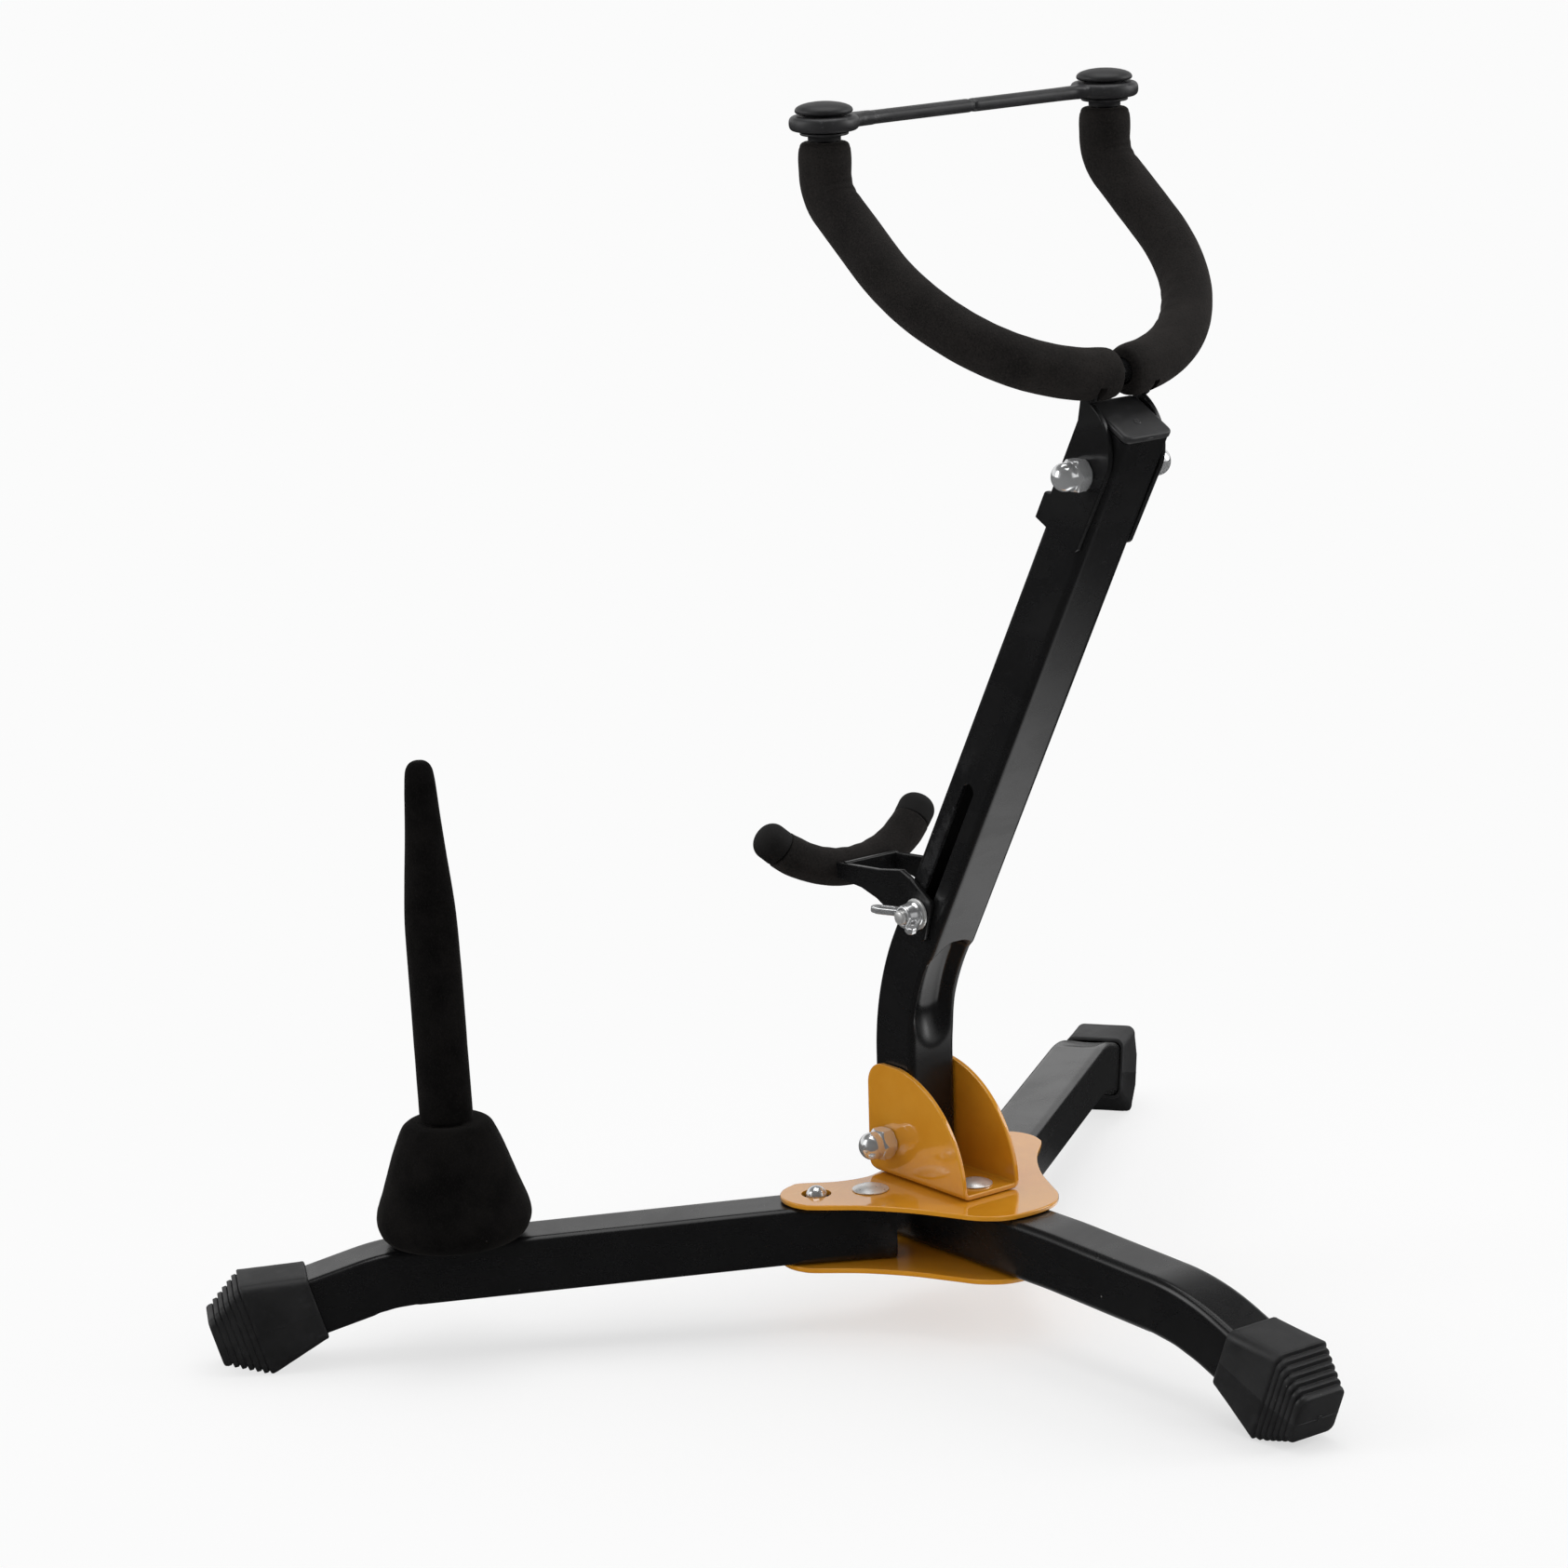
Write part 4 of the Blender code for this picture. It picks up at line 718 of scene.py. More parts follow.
def sweep(name, points, radius, mat, segs, wobble=None, cap_round=0.0, bore=0.0):
    """Round section along 3-D points; the ends may be rounded, bore leaves a hole.

    wobble(angle, run, total, outward) adds to the radius.
    """
    last = len(points) - 1
    tangents = [(points[min(i + 1, last)] - points[max(i - 1, 0)]).normalized()
                for i in range(last + 1)]
    up = UP if abs(tangents[0].z) < 0.9 else Vector((0, 1, 0))
    normals = [square_to(up, tangents[0])]
    for tangent in tangents[1:]:
        normals.append(square_to(normals[-1], tangent))
    run = path_lengths(points)
    mesh = bmesh.new()

    def ring(i, size, shift=0.0, rough=True):
        side = tangents[i].cross(normals[i])
        out = []
        for k in range(segs):
            angle = 2 * pi * k / segs
            outward = normals[i] * cos(angle) + side * sin(angle)
            reach = size
            if wobble and rough:
                reach += wobble(angle, run[i], run[-1], outward)
            out.append(mesh.verts.new(points[i] + tangents[i] * shift + outward * reach))
        return out
    if cap_round > 0:
        cap = [(radius - cap_round + cap_round * sin(pi / 2 * k / 5),
                cap_round * (1 - cos(pi / 2 * k / 5))) for k in range(6)]
        margin = cap_round * 1.15
        loops = [ring(0, size, shift) for size, shift in cap]
        loops += [ring(i, radius) for i in range(last + 1)
                  if run[i] > margin and run[-1] - run[i] > margin]
        loops += [ring(last, size, -shift) for size, shift in cap[::-1]]
    else:
        loops = [ring(i, radius) for i in range(last + 1)]
    if bore > 0:
        step = max(1, (last + 1) // 40)
        stations = sorted({*range(0, last + 1, step), last})
        back = [ring(i, bore, rough=False) for i in stations[::-1]]
        bridge(mesh, loops + back, close=True)
    else:
        loft(mesh, loops)
    return to_object(name, mesh, mat)


def hollow_tube(path, place, dent, columns):
    """Square tube with a wall along a flat path; dent(k, x, y) gives the shift (dy, dx).

    Returns the mesh and the rings of the inner wall.
    """
    inner_half = TUBE_HALF - WALL
    sections = (rounded_rect(TUBE_HALF, TUBE_HALF, CORNER_R, 7, top=columns),
                rounded_rect(inner_half, inner_half, CORNER_R - WALL + 0.1, 7, top=columns))
    mesh = bmesh.new()
    walls = []
    for section in sections:
        rings = []
        for k, (u, v, heading) in enumerate(path):
            ring = []
            for x, y in section:
                dy, dx = dent(k, x, y)
                ring.append(mesh.verts.new(place(u - sin(heading) * (y + dy), x + dx,
                                                 v + cos(heading) * (y + dy))))
            rings.append(ring)
        walls.append(rings)
    bridge(mesh, walls[0] + walls[1][::-1], close=True)
    return mesh, walls[1]


# ------------------------------------------------------------------ legs
SLOPE = radians(LEG_SLOPE)
PEG_ANGLE = radians(LEG_ANGLE["right"])
PEG_AXIS = Vector((sin(SLOPE) * cos(PEG_ANGLE), sin(SLOPE) * sin(PEG_ANGLE), cos(SLOPE)))
PEG_PLACE = frame_from(PEG_AXIS, polar(LEG_ANGLE["right"], PEG_OUT,
                                       LEG_TOP - (PEG_OUT - SLOPE_AT) * tan(SLOPE)))
LEG_BEND_STEPS = 34


def leg_path(inner, bend_at, bend_r, bend, mouth):
    """Level, then a slight slope, then a bend down; ends 20 mm inside the boot."""
    path = path_points((inner, LEG_TOP - TUBE_HALF, 0.0), [
        ('S', SLOPE_AT - 4 - inner, 2), ('A', 8 / SLOPE, -LEG_SLOPE, 8),
        ('S', (bend_at - SLOPE_AT) / cos(SLOPE) - 4, 3),
        ('A', bend_r, -(bend - LEG_SLOPE), LEG_BEND_STEPS)])
    u, _, heading = path[-1]
    length = (mouth + 20.0 - u) / cos(heading)
    return path, path_points(path[-1], [('S', length, 4)])[1:]


def bend_dent(tag, part, x, y):
    """Bending has pushed the underside in and thrown up small waves.

    part runs from 0 to 1 round the bend; returns (dy, dx).
    """
    if tag == "left" and y > 0.8 * TUBE_HALF and -0.1 < part < 1.3:
        # this one has also sunk a little along the top of the bend
        across = max(0.0, 1 - (abs(x) / 8.2) ** 2.4)
        return (-0.95 * across * smoothstep(-0.1, 0.45, part)
                * smoothstep(1.3, 0.8, part)), 0.0
    if not -0.12 < part < 1.05 or y > -0.25 * TUBE_HALF:
        return 0.0, 0.0
    # depth of the push, height of the waves, height of the lip where the bend starts
    push, wave, lip = (0.55, 0.42, 0.65) if tag == "back" else (1.15, 0.26, 0.35)
    across = max(0.0, 1 - (abs(x) / (TUBE_HALF - 0.2)) ** 2.2)
    low = max(0.0, min(1.0, (-y - 0.25 * TUBE_HALF) / (0.7 * TUBE_HALF)))
    fade = smoothstep(-0.12, 0.10, part) * smoothstep(1.05, 0.80, part)
    waves = wave * sin(2 * pi * (part * 2.3 + 0.12)) * fade
    inward = (push * fade + waves - lip * exp(-((part - 0.02) / 0.06) ** 2)) * across * low
    bulge = 0.0
    if abs(x) > TUBE_HALF - 1.2:
        bulge = copysign(0.22 * fade * exp(-((-y - 7.0) / 3.0) ** 2), x)
    return inward, bulge


def leg_tube(tag, spec, body):
    """Builds one leg and returns the end of its bend, where the last straight starts."""
    bent, straight = leg_path(**spec)
    first = len(bent) - 1 - LEG_BEND_STEPS
    place = PLACE[tag]
    mesh, _ = hollow_tube(bent + straight, place, lambda k, x, y: bend_dent(
        tag, (k - first) / LEG_BEND_STEPS, x, y), columns=11)
    leg = to_object(tag + "_leg_coated", mesh, BLACK)
    if tag == "back":
        drill(leg, RIVET_HOLE, -5, 60, Matrix.Translation(REAR_RIVET))
    else:
        drill(leg, STUD_HOLE, -5, 60, Matrix.Translation(place(RIVET_OUT, 0, 0)))
        drill(leg, 3.75, LEG_TOP - 5, LEG_TOP + 5, Matrix.Translation(DETENT[tag]))
    if tag == "right":
        drill(leg, WIDE_STUD_HOLE, -6, 6, PEG_PLACE)
    finish(leg, body, tag + "_leg_tube", angle=32, weighted=True)
    return bent[-1]


# Boot stations: along, half width, half height, corner radius.
BOOT_LIP = [(0.0, 10.8, 10.95, 2.2), (0.12, 11.15, 11.25, 2.8), (0.55, 11.42, 11.6, 3.4),
            (1.3, 11.5, 11.72, 3.6)]
# One groove and rib, relative to the rib's start and size; the nose likewise.
BOOT_RIB = [(0.08, -0.14, -0.30, 2.9), (0.24, -0.22, -0.40, 2.9), (0.40, -0.14, -0.28, 3.0),
            (0.54, -0.04, -0.08, 3.1), (0.75, 0.0, 0.0, 3.1), (1.4, 0.0, -0.03, 3.1),
            (1.85, -0.02, -0.07, 3.1), (2.05, -0.10, -0.20, 3.0)]
BOOT_NOSE = [(0.1, -0.10, -0.16, 3.0), (0.45, -0.26, -0.34, 2.8), (0.7, -0.55, -0.65, 2.6),
             (0.8, -0.95, -1.05, 2.3)]
MOULD_LINE_Y = -1.2


def boot_stations(down):
    """Flared socket that grows to the floor, six stepped ribs and a flat nose."""
    mid = 11.9 + (down - 11.9) * 0.45
    out = list(BOOT_LIP)
    sevenths = [i / 7 for i in range(1, 8)]
    out += [(1.3 + 9.7 * part, 11.5, 11.72 + (mid - 11.72) * part, 3.6) for part in sevenths]
    out += [(11.0 + 10.2 * part, 11.5, mid + (down - 0.3 - mid) * part, 3.6 - 0.5 * part)
            for part in sevenths]
    out += [(21.8, 11.46, down - 0.12, 3.1), (22.25, 11.30, down - 0.3, 3.2)]
    along, half_w, half_h = 22.4, 11.3, down

    def shifted(table):
        return [(along + da, half_w + dw, half_h + dh, radius) for da, dw, dh, radius in table]
    for _ in range(6):
        half_w -= 0.18
        half_h -= (down - 9.0) / 6.4
        out += shifted(BOOT_RIB)
        along, half_w, half_h = along + 2.15, half_w - 0.02, half_h - 0.10
    return out + shifted(BOOT_NOSE)


def boot(tag, bend_end, mouth, body):
    """Moulded boot, with a mould line and a gate mark on its nose."""
    place = PLACE[tag]
    u, v, heading = bend_end
    mouth_z = v + (mouth - u) * tan(heading)

    def spot(along, x, y):
        return place(mouth + along * cos(heading) - y * sin(heading), x,
                     mouth_z + along * sin(heading) + y * cos(heading))
    stations = boot_stations((mouth_z + 22.0 * sin(heading)) / cos(heading) + 1.0)
    mesh = bmesh.new()

    def loop(along, half_w, half_h, radius, ridge=0.10):
        out = []
        for x, y in rounded_rect(half_w, half_h, radius, 6, top=5,
                                 ridge=(MOULD_LINE_Y, ridge, 0.28)):
            point = spot(along, x, y)
            uneven = 0.05 * noise3(point, 0.23, 3.1) + 0.018 * noise3(point, 1.4, 1.0)
            point = point + (point - spot(along, 0, 0)).normalized() * uneven
            point.z = max(point.z, 0.0)
            out.append(mesh.verts.new(point))
        return out
    socket = TUBE_HALF + 0.25
    loops = [loop(along, socket, socket, CORNER_R, 0.0) for along in (20.6, 10.0, 0.0)]
    loops += [loop(*station) for station in stations]
    # shrinking rings close the nose
    nose, half_w, half_h, radius = stations[-1]
    for part in (0.75, 0.5, 0.25):
        loops.append(loop(nose + 0.02, half_w * part, half_h * part,
                          max(0.6, radius * part), 0.03))
    bridge(mesh, loops)
    mesh.faces.new(loops[-1])
    mesh.faces.new(loops[0][::-1])
    finish(to_object(tag + "_boot_moulded", mesh, BOOT), body, tag + "_foot",
           angle=44)

    line = bmesh.new()
    reach = half_w - 0.6
    rows = []
    for k in range(25):
        x = -reach + 2 * reach * k / 24
        height = 0.16 * (1 - (abs(x) / reach) ** 6) + 0.02
        rows.append([line.verts.new(spot(nose - 0.25 + (0.28 + height) * sin(pi * i / 6), x,
                                         MOULD_LINE_Y + 0.24 * cos(pi * i / 6)))
                     for i in range(7)])
    loft(line, rows)
    finish(to_object(tag + "_boot_mould_line", line, BOOT), body, angle=50)

    # place() adds the left leg's offset to this axis too, which tilts its mark a little
    axis = place(cos(heading), 0, sin(heading))
    profile = [(0, 0), (1.15, 0), (1.15, 0.45), (0.95, 0.62), (0.6, 0.50), (0.35, 0.66),
               (0, 0.72)]
    mark = spin(tag + "_boot_gate_mark", profile, frame_from(axis, spot(nose - 0.3, 0.9, -0.9)),
                20, BOOT, lambda angle, radius, z: 0.10 * radius * sin(3 * angle + 0.6))
    finish(mark, body)


for tag, spec, body in (("right", FRONT_LEG, "right_leg"), ("left", FRONT_LEG, "left_leg"),
                        ("back", BACK_LEG, "base")):
    boot(tag, leg_tube(tag, spec, body), spec["mouth"], body)


# ------------------------------------------------------------------ plates
def plate_outline():
    """Three-lobed outline, mirrored about X = 0 and smoothed."""
    lobe = polar(LEG_ANGLE["right"], 47.5)
    # (x, y) of the right half, from the back point round to the front
    half = [(0.0, 40.0), (10.5, 38.3), (18.0, 32.0), (22.5, 23.5), (29.5, 10.0), (39.5, -3.5)]
    half += arc(lobe.x, lobe.y, 13.6, 42.0, -98.0, 8)
    half += [(28.5, -30.0), (17.5, -27.2), (8.0, -29.4)]
    points = [Vector(point) for point in half]
    full = points + [Vector((0, -30.2))] + [Vector((-p.x, p.y)) for p in reversed(points[1:])]
    out = []
    count = len(full)
    for i in range(count):
        corners = [full[(i + k) % count] for k in (-1, 0, 1, 2)]
        steps = max(2, int(round((corners[2] - corners[1]).length / 1.4)))
        for k in range(steps):
            spot = catmull(*corners, k / steps)
            out.append((spot.x, spot.y))
    return out


for name, z, top in (("top_plate", PLATE_TOP_Z, True),
                     ("bottom_plate", PLATE_BOT_Z - PLATE_T, False)):
    plate = round_prism(name + "_enamelled", plate_outline(), z, z + PLATE_T, 'Z', 0.55,
                        AMBER, 4)
    for at in (RIGHT_RIVET, LEFT_RIVET, REAR_RIVET):
        drill(plate, RIVET_HOLE, -5, 120, Matrix.Translation(at))
    if top:
        for at in DETENT.values():
            drill(plate, 5.1, -5, 120, Matrix.Translation(at), 64)
    soften(plate, 0.28, angle=55.0, segs=3)
    finish(plate, "base", name, weighted=True)


# ------------------------------------------------------------------ clevis
def clevis():
    """Sheet bent to a U, lofted along its cross-section so every rim is rounded."""
    bend_r, rim, thick = 2.6, 0.5, CLEVIS_T
    back_r = CLEVIS_H + 1.2                      # big arc of the ears' back edge
    back_centre = CLEVIS_BACK - CLEVIS_H - 1.2
    top = CLEVIS_Z + back_r - 0.3
    wall_start = CLEVIS_Z + bend_r
    foot_r, top_r = 4.5, 8.0                     # front corners of the ears
    foot_z, top_z = CLEVIS_Z + 4.8, CLEVIS_Z + back_r - 8.3

    def span(z):
        """Front and back limit of the sheet at this height."""
        z = max(z, CLEVIS_Z + 0.35)
        front = CLEVIS_FRONT
        if z < foot_z:
            front += foot_r - sqrt(max(0.0, foot_r ** 2 - min(foot_r, foot_z - z) ** 2))
        if z > top_z:
            front = CLEVIS_FRONT + top_r - sqrt(max(0.0, top_r ** 2 - (z - top_z) ** 2))
        back = back_centre + sqrt(max(0.0, back_r ** 2 - (z - CLEVIS_Z) ** 2))
        back = min(back, CLEVIS_BACK)
        if back - front < 2.4:
            middle = (front + back) / 2
            return middle - 1.2, middle + 1.2
        return front, back
    # (x, z, normal x, normal z) on the outer skin, from the middle of the floor to an ear top
    half = [((CLEVIS_HALF - bend_r) * i / 6, CLEVIS_Z, 0.0, -1.0) for i in range(7)]
    for i in range(1, 9):
        angle = radians(-90 + 90 * i / 8)
        half.append((CLEVIS_HALF - bend_r + bend_r * cos(angle),
                     wall_start + bend_r * sin(angle), cos(angle), sin(angle)))
    for i in range(1, 45):
        z = wall_start + (top - wall_start) * sin(pi / 2 * (i / 44))
        half.append((CLEVIS_HALF, min(z, top - 0.02), 1.0, 0.0))
    stations = [(-x, z, -nx, nz) for x, z, nx, nz in reversed(half[1:])] + half
    mesh = bmesh.new()
    loops = []
    for k, (x, z, nx, nz) in enumerate(stations):
        front, back = span(z)
        front, back = front + rim, back - rim
        run = back - front
        # (y, depth into the sheet) once round the section
        section = [(front + run * i / 18, 0.0) for i in range(19)]
        section += arc(back, rim, rim, -90, 0, 5)[1:]
        section += arc(back, thick - rim, rim, 0, 90, 5)
        section += [(back - run * i / 18, thick) for i in range(1, 19)]
        section += arc(front, thick - rim, rim, 90, 180, 5)[1:]
        section += arc(front, rim, rim, 180, 270, 5)[:-1]
        # the sheet thins over the last three stations, which rounds the ear tops
        end = min(k, len(stations) - 1 - k)
        squeeze = 1.0 if end > 2 else (0.45, 0.75, 0.93)[end]
        loop = []
        for y, depth in section:
            depth = thick / 2 + (depth - thick / 2) * squeeze
            loop.append(mesh.verts.new((x - nx * depth, y, z - nz * depth)))
        loops.append(loop)
    loft(mesh, loops)
    piece = to_object("upright_clevis_enamelled", mesh, AMBER)
    cross_drill(piece, 3.15, LOWER_PIVOT)
    drill(piece, RIVET_HOLE, CLEVIS_Z - 5, CLEVIS_Z + 10, Matrix.Translation(REAR_RIVET))
    finish(piece, "base", "upright_clevis", weighted=True)


clevis()


# ------------------------------------------------------------------ rivets and detent buttons
def rivet(name, at, under_head, head_r):
    """Rivet with a low foot under the bottom plate and a shallow, slightly uneven dome."""
    foot = PLATE_BOT_Z - PLATE_T - 0.15
    head = under_head + 0.15
    edge = head_r - 0.02
    profile = [(0, foot - 1.7), (1.4, foot - 1.68), (3.0, foot - 1.58), (4.4, foot - 1.3),
               (5.4, foot - 0.85), (5.9, foot - 0.4), (6.0, foot - 0.12), (5.95, foot),
               (3.0, foot), (3.0, head), (head_r - 0.05, head), (head_r, head + 0.12),
               (edge, head + 0.32)]
    for i in range(1, 13):
        part = i / 12
        flat = 0.97 if part > 0.8 else 1.0       # a faint flat at the crown
        profile.append((edge * (1 - part), head + 0.32 + 1.38 * (1 - (1 - part) ** 2.3) * flat))

    def uneven(angle, radius, z):
        return 0.05 * sin(2 * angle + at.x) * (radius / head_r) if z > head else 0.0
    piece = spin(name + "_set", profile, Matrix.Translation(at), 72, ZINC, uneven)
    finish(piece, "base", name, angle=35)


rivet("right_leg_rivet", RIGHT_RIVET, PLATE_TOP_Z + PLATE_T, 6.3)
rivet("left_leg_rivet", LEFT_RIVET, PLATE_TOP_Z + PLATE_T, 6.3)
rivet("clevis_rivet", REAR_RIVET, BASE_TOP_Z, 6.0)


def detent(tag, at):
    """Domed button that sits in the leg's roof and is pressed down as the leg folds."""
    roof = LEG_TOP - WALL
    foot = roof - 4.4
    profile = [(0, foot), (3.1, foot), (3.2, roof - 4.2), (3.2, roof - 2.2), (4.8, roof - 2.2),
               (4.9, roof - 2.0), (4.9, roof - 0.5), (4.8, roof - 0.4), (3.6, roof - 0.4)]
    dome_z = PLATE_TOP_Z + PLATE_T - 0.6
    for i in range(17):
        angle = radians(90 * i / 16)
        profile.append((3.6 * cos(angle), dome_z + 3.4 * sin(angle)))
    ball = spin(tag + "_detent_ball", profile, Matrix.Translation(at), 48, CHROME)
    finish(ball, tag + "_detent", tag + "_detent_button", angle=38)
    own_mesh(ball)


for tag, at in DETENT.items():
    detent(tag, at)


# ------------------------------------------------------------------ upright
UPRIGHT_BEND_R, UPRIGHT_BEND_STEPS = 85.0, 64
UPRIGHT_START_STEPS = 6
DENT_RUN, DENT_RUN_STEPS = 20.0, 30              # finely cut straight above the bend


def upright_dent(k, x, y):
    """Crush valley on the back wall with a crisp upper lip, ridged sides, a soft lower end."""
    step = k - UPRIGHT_START_STEPS
    part = step / UPRIGHT_BEND_STEPS
    if step > UPRIGHT_BEND_STEPS:
        beyond = (step - UPRIGHT_BEND_STEPS) * (DENT_RUN / DENT_RUN_STEPS)
        part = 1.0 + beyond / (UPRIGHT_BEND_R * LEAN)
    if not 0.02 < part < 1.26 or y > -0.45 * TUBE_HALF:
        return 0.0, 0.0
    depth = max(0.0, min(1.0, (-y - 0.45 * TUBE_HALF) / (0.5 * TUBE_HALF)))
    bow = min(1.3, (abs(x) / 7.8) ** 2)
    # the upper lip droops more on the right
    lip = 1.23 - (0.15 if x > 0 else 0.04) * bow
    foot = 0.08 + 0.12 * min(1.0, bow)
    along = smoothstep(foot, foot + 0.40, part) * smoothstep(lip, lip - 0.10, part)
    if x > 0:
        across = max(0.0, 1 - (x / 9.2) ** 3.2)
    else:                                        # the left corner has gone in with the valley
        across = max(0.28, 1 - (abs(x) / 8.0) ** 2.8)
    floor = 4.9 * along * across
    # a second, narrower crease along the left side of the valley
    crease = (0.55 * along * exp(-((x + 4.6 - 1.2 * (part - 0.5)) / 0.8) ** 2)
              * smoothstep(0.15, 0.4, part))
    ridge = -(0.30 if x > 0 else 0.55) * along * exp(-((abs(x) - 8.7) / 0.8) ** 2)
    return (floor + crease * across + ridge) * depth, 0.0


def upright():
    start = BASE_TOP_Z + 0.25
    cut_back = UPRIGHT_BEND_R * tan(LEAN / 2)
    # u is height, v is distance to the front
    path = path_points((start, -PIVOT_Y, 0.0), [
        ('S', KNEE.z - cut_back - start, UPRIGHT_START_STEPS),
        ('A', UPRIGHT_BEND_R, -LEAN_DEG, UPRIGHT_BEND_STEPS), ('S', DENT_RUN, DENT_RUN_STEPS),
        ('S', TUBE_END - cut_back - DENT_RUN, 5)])
    mesh, inner = hollow_tube(path, lambda u, x, v: Vector((x, -v, u)), upright_dent,
                              columns=27)
    # Faces of the inner wall take the second material, the painted shade inside the tube.
    inside = {vert for ring in inner for vert in ring}
    for face in mesh.faces:
        face.material_index = 1 if all(vert in inside for vert in face.verts) else 0
    tube = to_object("upright_coated", mesh, BLACK)
    tube.data.materials.append(PAINTED_SHADE_INSIDE)
    # round the lower back corner about the pivot
    y, z, heel_r = LOWER_PIVOT.y, LOWER_PIVOT.z, 10.4
    combine(tube, slab([(y, z - heel_r)] + arc(y, z, heel_r, 270, 358, 24)
                       + [(y + 14, z), (y + 14, z - 16), (y, z - 16)]))
    cross_drill(tube, STUD_HOLE, LOWER_PIVOT)
    cross_drill(tube, WIDE_STUD_HOLE, UPPER_PIVOT)
    slot_r = 2.75
    slot = []
    for centre, turn in ((REST_SLOT + REST_TRAVEL + 0.6, 0), (REST_SLOT - 0.6, 180)):
        for i in range(17):
            angle = radians(turn - 90 + 180 * i / 16)
            point = (KNEE + TUBE_UP * (centre + slot_r * cos(angle))
                     + TUBE_BACK * (slot_r * sin(angle)))
            slot.append((point.y, point.z))
    combine(tube, slab(slot))
    soften(tube, 0.22, angle=62.0, segs=2)
    finish(tube, "upright", "upright_tube", angle=34, weighted=True)


upright()


def end_cap():
    """Plug in the upright's top, with a gate nib and a mould lip on its back edge."""
    turn = Matrix(((1, 0, 0, 0), (0, TUBE_BACK.y, TUBE_UP.y, 0),
                   (0, TUBE_BACK.z, TUBE_UP.z, 0), (0, 0, 0, 1)))
    place = Matrix.Translation(KNEE + TUBE_UP * TUBE_END) @ turn
    inner = TUBE_HALF - WALL - 0.25
    # z, half width, half depth, corner radius
    stations = [(-9, inner - 0.6, inner - 0.6, 1.0), (0.25, inner, inner, 1.0),
                (0.25, 9.7, 10.3, 2.4)]
    # z and growth of the rim
    for z, grow in ((0.33, 0.30), (0.55, 0.46), (0.9, 0.52), (1.5, 0.55), (1.95, 0.52),
                    (2.25, 0.38), (2.48, 0.12), (2.6, -0.25), (2.64, -0.8)):
        stations.append((z, TUBE_HALF - 0.55 + grow, TUBE_HALF + grow,
                         max(1.4, CORNER_R + grow - 0.5)))
    for part in (0.8, 0.6, 0.4, 0.2):
        stations.append((2.66, (TUBE_HALF - 1.0) * part, (TUBE_HALF - 0.8) * part,
                         1.8 * part + 0.1))
    mesh = bmesh.new()
    loops = []
    for z, half_w, half_d, radius in stations:
        loop = []
        for x, y in rounded_rect(half_w, half_d, radius, 6, top=9, side=5):
            point = place @ Vector((x, y, z))
            loop.append(mesh.verts.new(point + Vector((0, 0, 0.03 * noise3(point, 0.35, 5.0)))))
        loops.append(loop)
    loft(mesh, loops)
    finish(to_object("upright_plug_moulded", mesh, PLASTIC), "upright",
           "upright_end_cap", angle=42)
    profile = [(0, 2.3), (1.3, 2.3), (1.3, 2.78), (1.05, 3.0), (0.75, 2.9), (0.4, 3.02),
               (0, 3.05)]
    nib = spin("upright_plug_nib", profile, place @ Matrix.Translation((0, 3.0, 0)), 24,
               PLASTIC, lambda angle, radius, z: 0.06 * radius * sin(4 * angle))
    finish(nib, "upright")
    mesh = bmesh.new()
    rows = []
    for i in range(13):
        x = -1.9 + 3.8 * i / 12
        height = 0.32 * sin(pi * i / 12) + 0.04
        rows.append([mesh.verts.new(place @ Vector((
            x, TUBE_HALF + 0.45 + height * sin(pi * k / 6), 1.25 + 0.42 * cos(pi * k / 6))))
            for k in range(7)])
    loft(mesh, rows)
    finish(to_object("upright_plug_mould_lip", mesh, PLASTIC), "upright")


end_cap()


# ------------------------------------------------------------------ acorn nuts
HEX_FLAT, HEX_CORNER = 5.0, 5.9
HEX_Z = [0.0, 0.08, 0.2, 0.4, 0.65, 0.95, 1.3, 1.8, 2.6, 3.3, 3.8, 4.1, 4.35, 4.6, 4.85, 5.05,
         5.2, 5.3]
# (radius, z)
NUT_NECK = [(4.78, 5.32), (4.72, 5.45), (4.70, 5.7), (4.70, 6.4), (4.70, 7.2)]
NUT_BORE = [(3.7, 0.0), (3.25, 0.5), (3.25, 7.0)]


def soft_min(first, second, blend=0.10):
    part = max(0.0, min(1.0, 0.5 + 0.5 * (second - first) / blend))
    return second * (1 - part) + first * part - blend * part * (1 - part)


def cap_nut(name, at, side, seat, body):
    """Chamfered hexagon, then a neck and a full dome, with a blind bore."""
    place = frame_from((side, 0, 0), Vector(at) + Vector((side * seat, 0, 0)))
    segs = 120
    mesh = bmesh.new()
    loops = []
    for z in HEX_Z:
        cone = min(5.25 + 0.75 * z, HEX_CORNER, HEX_CORNER - (z - 4.0) * 0.92)
        loops.append(circle(mesh, place, segs, z, lambda angle: soft_min(
            HEX_FLAT / cos((angle % (pi / 3)) - pi / 6), cone)))
    dome = [(4.7 * cos(radians(90 * i / 16)), 7.4 + 4.1 * sin(radians(90 * i / 16)))
            for i in range(1, 16)]
    loops += [circle(mesh, place, segs, z, lambda angle: radius)
              for radius, z in NUT_NECK + dome]
    crown = mesh.verts.new(place @ Vector((0, 0, 11.5)))
    bridge(mesh, loops)
    for i in range(segs):
        mesh.faces.new((loops[-1][i], loops[-1][(i + 1) % segs], crown))
    bore = [circle(mesh, place, segs, z, lambda angle: radius) for radius, z in NUT_BORE]
    bridge(mesh, [loops[0]] + bore)
    mesh.faces.new(bore[-1])
    finish(to_object(name + "_polished", mesh, CHROME), body, name, angle=26,
           weighted=True)


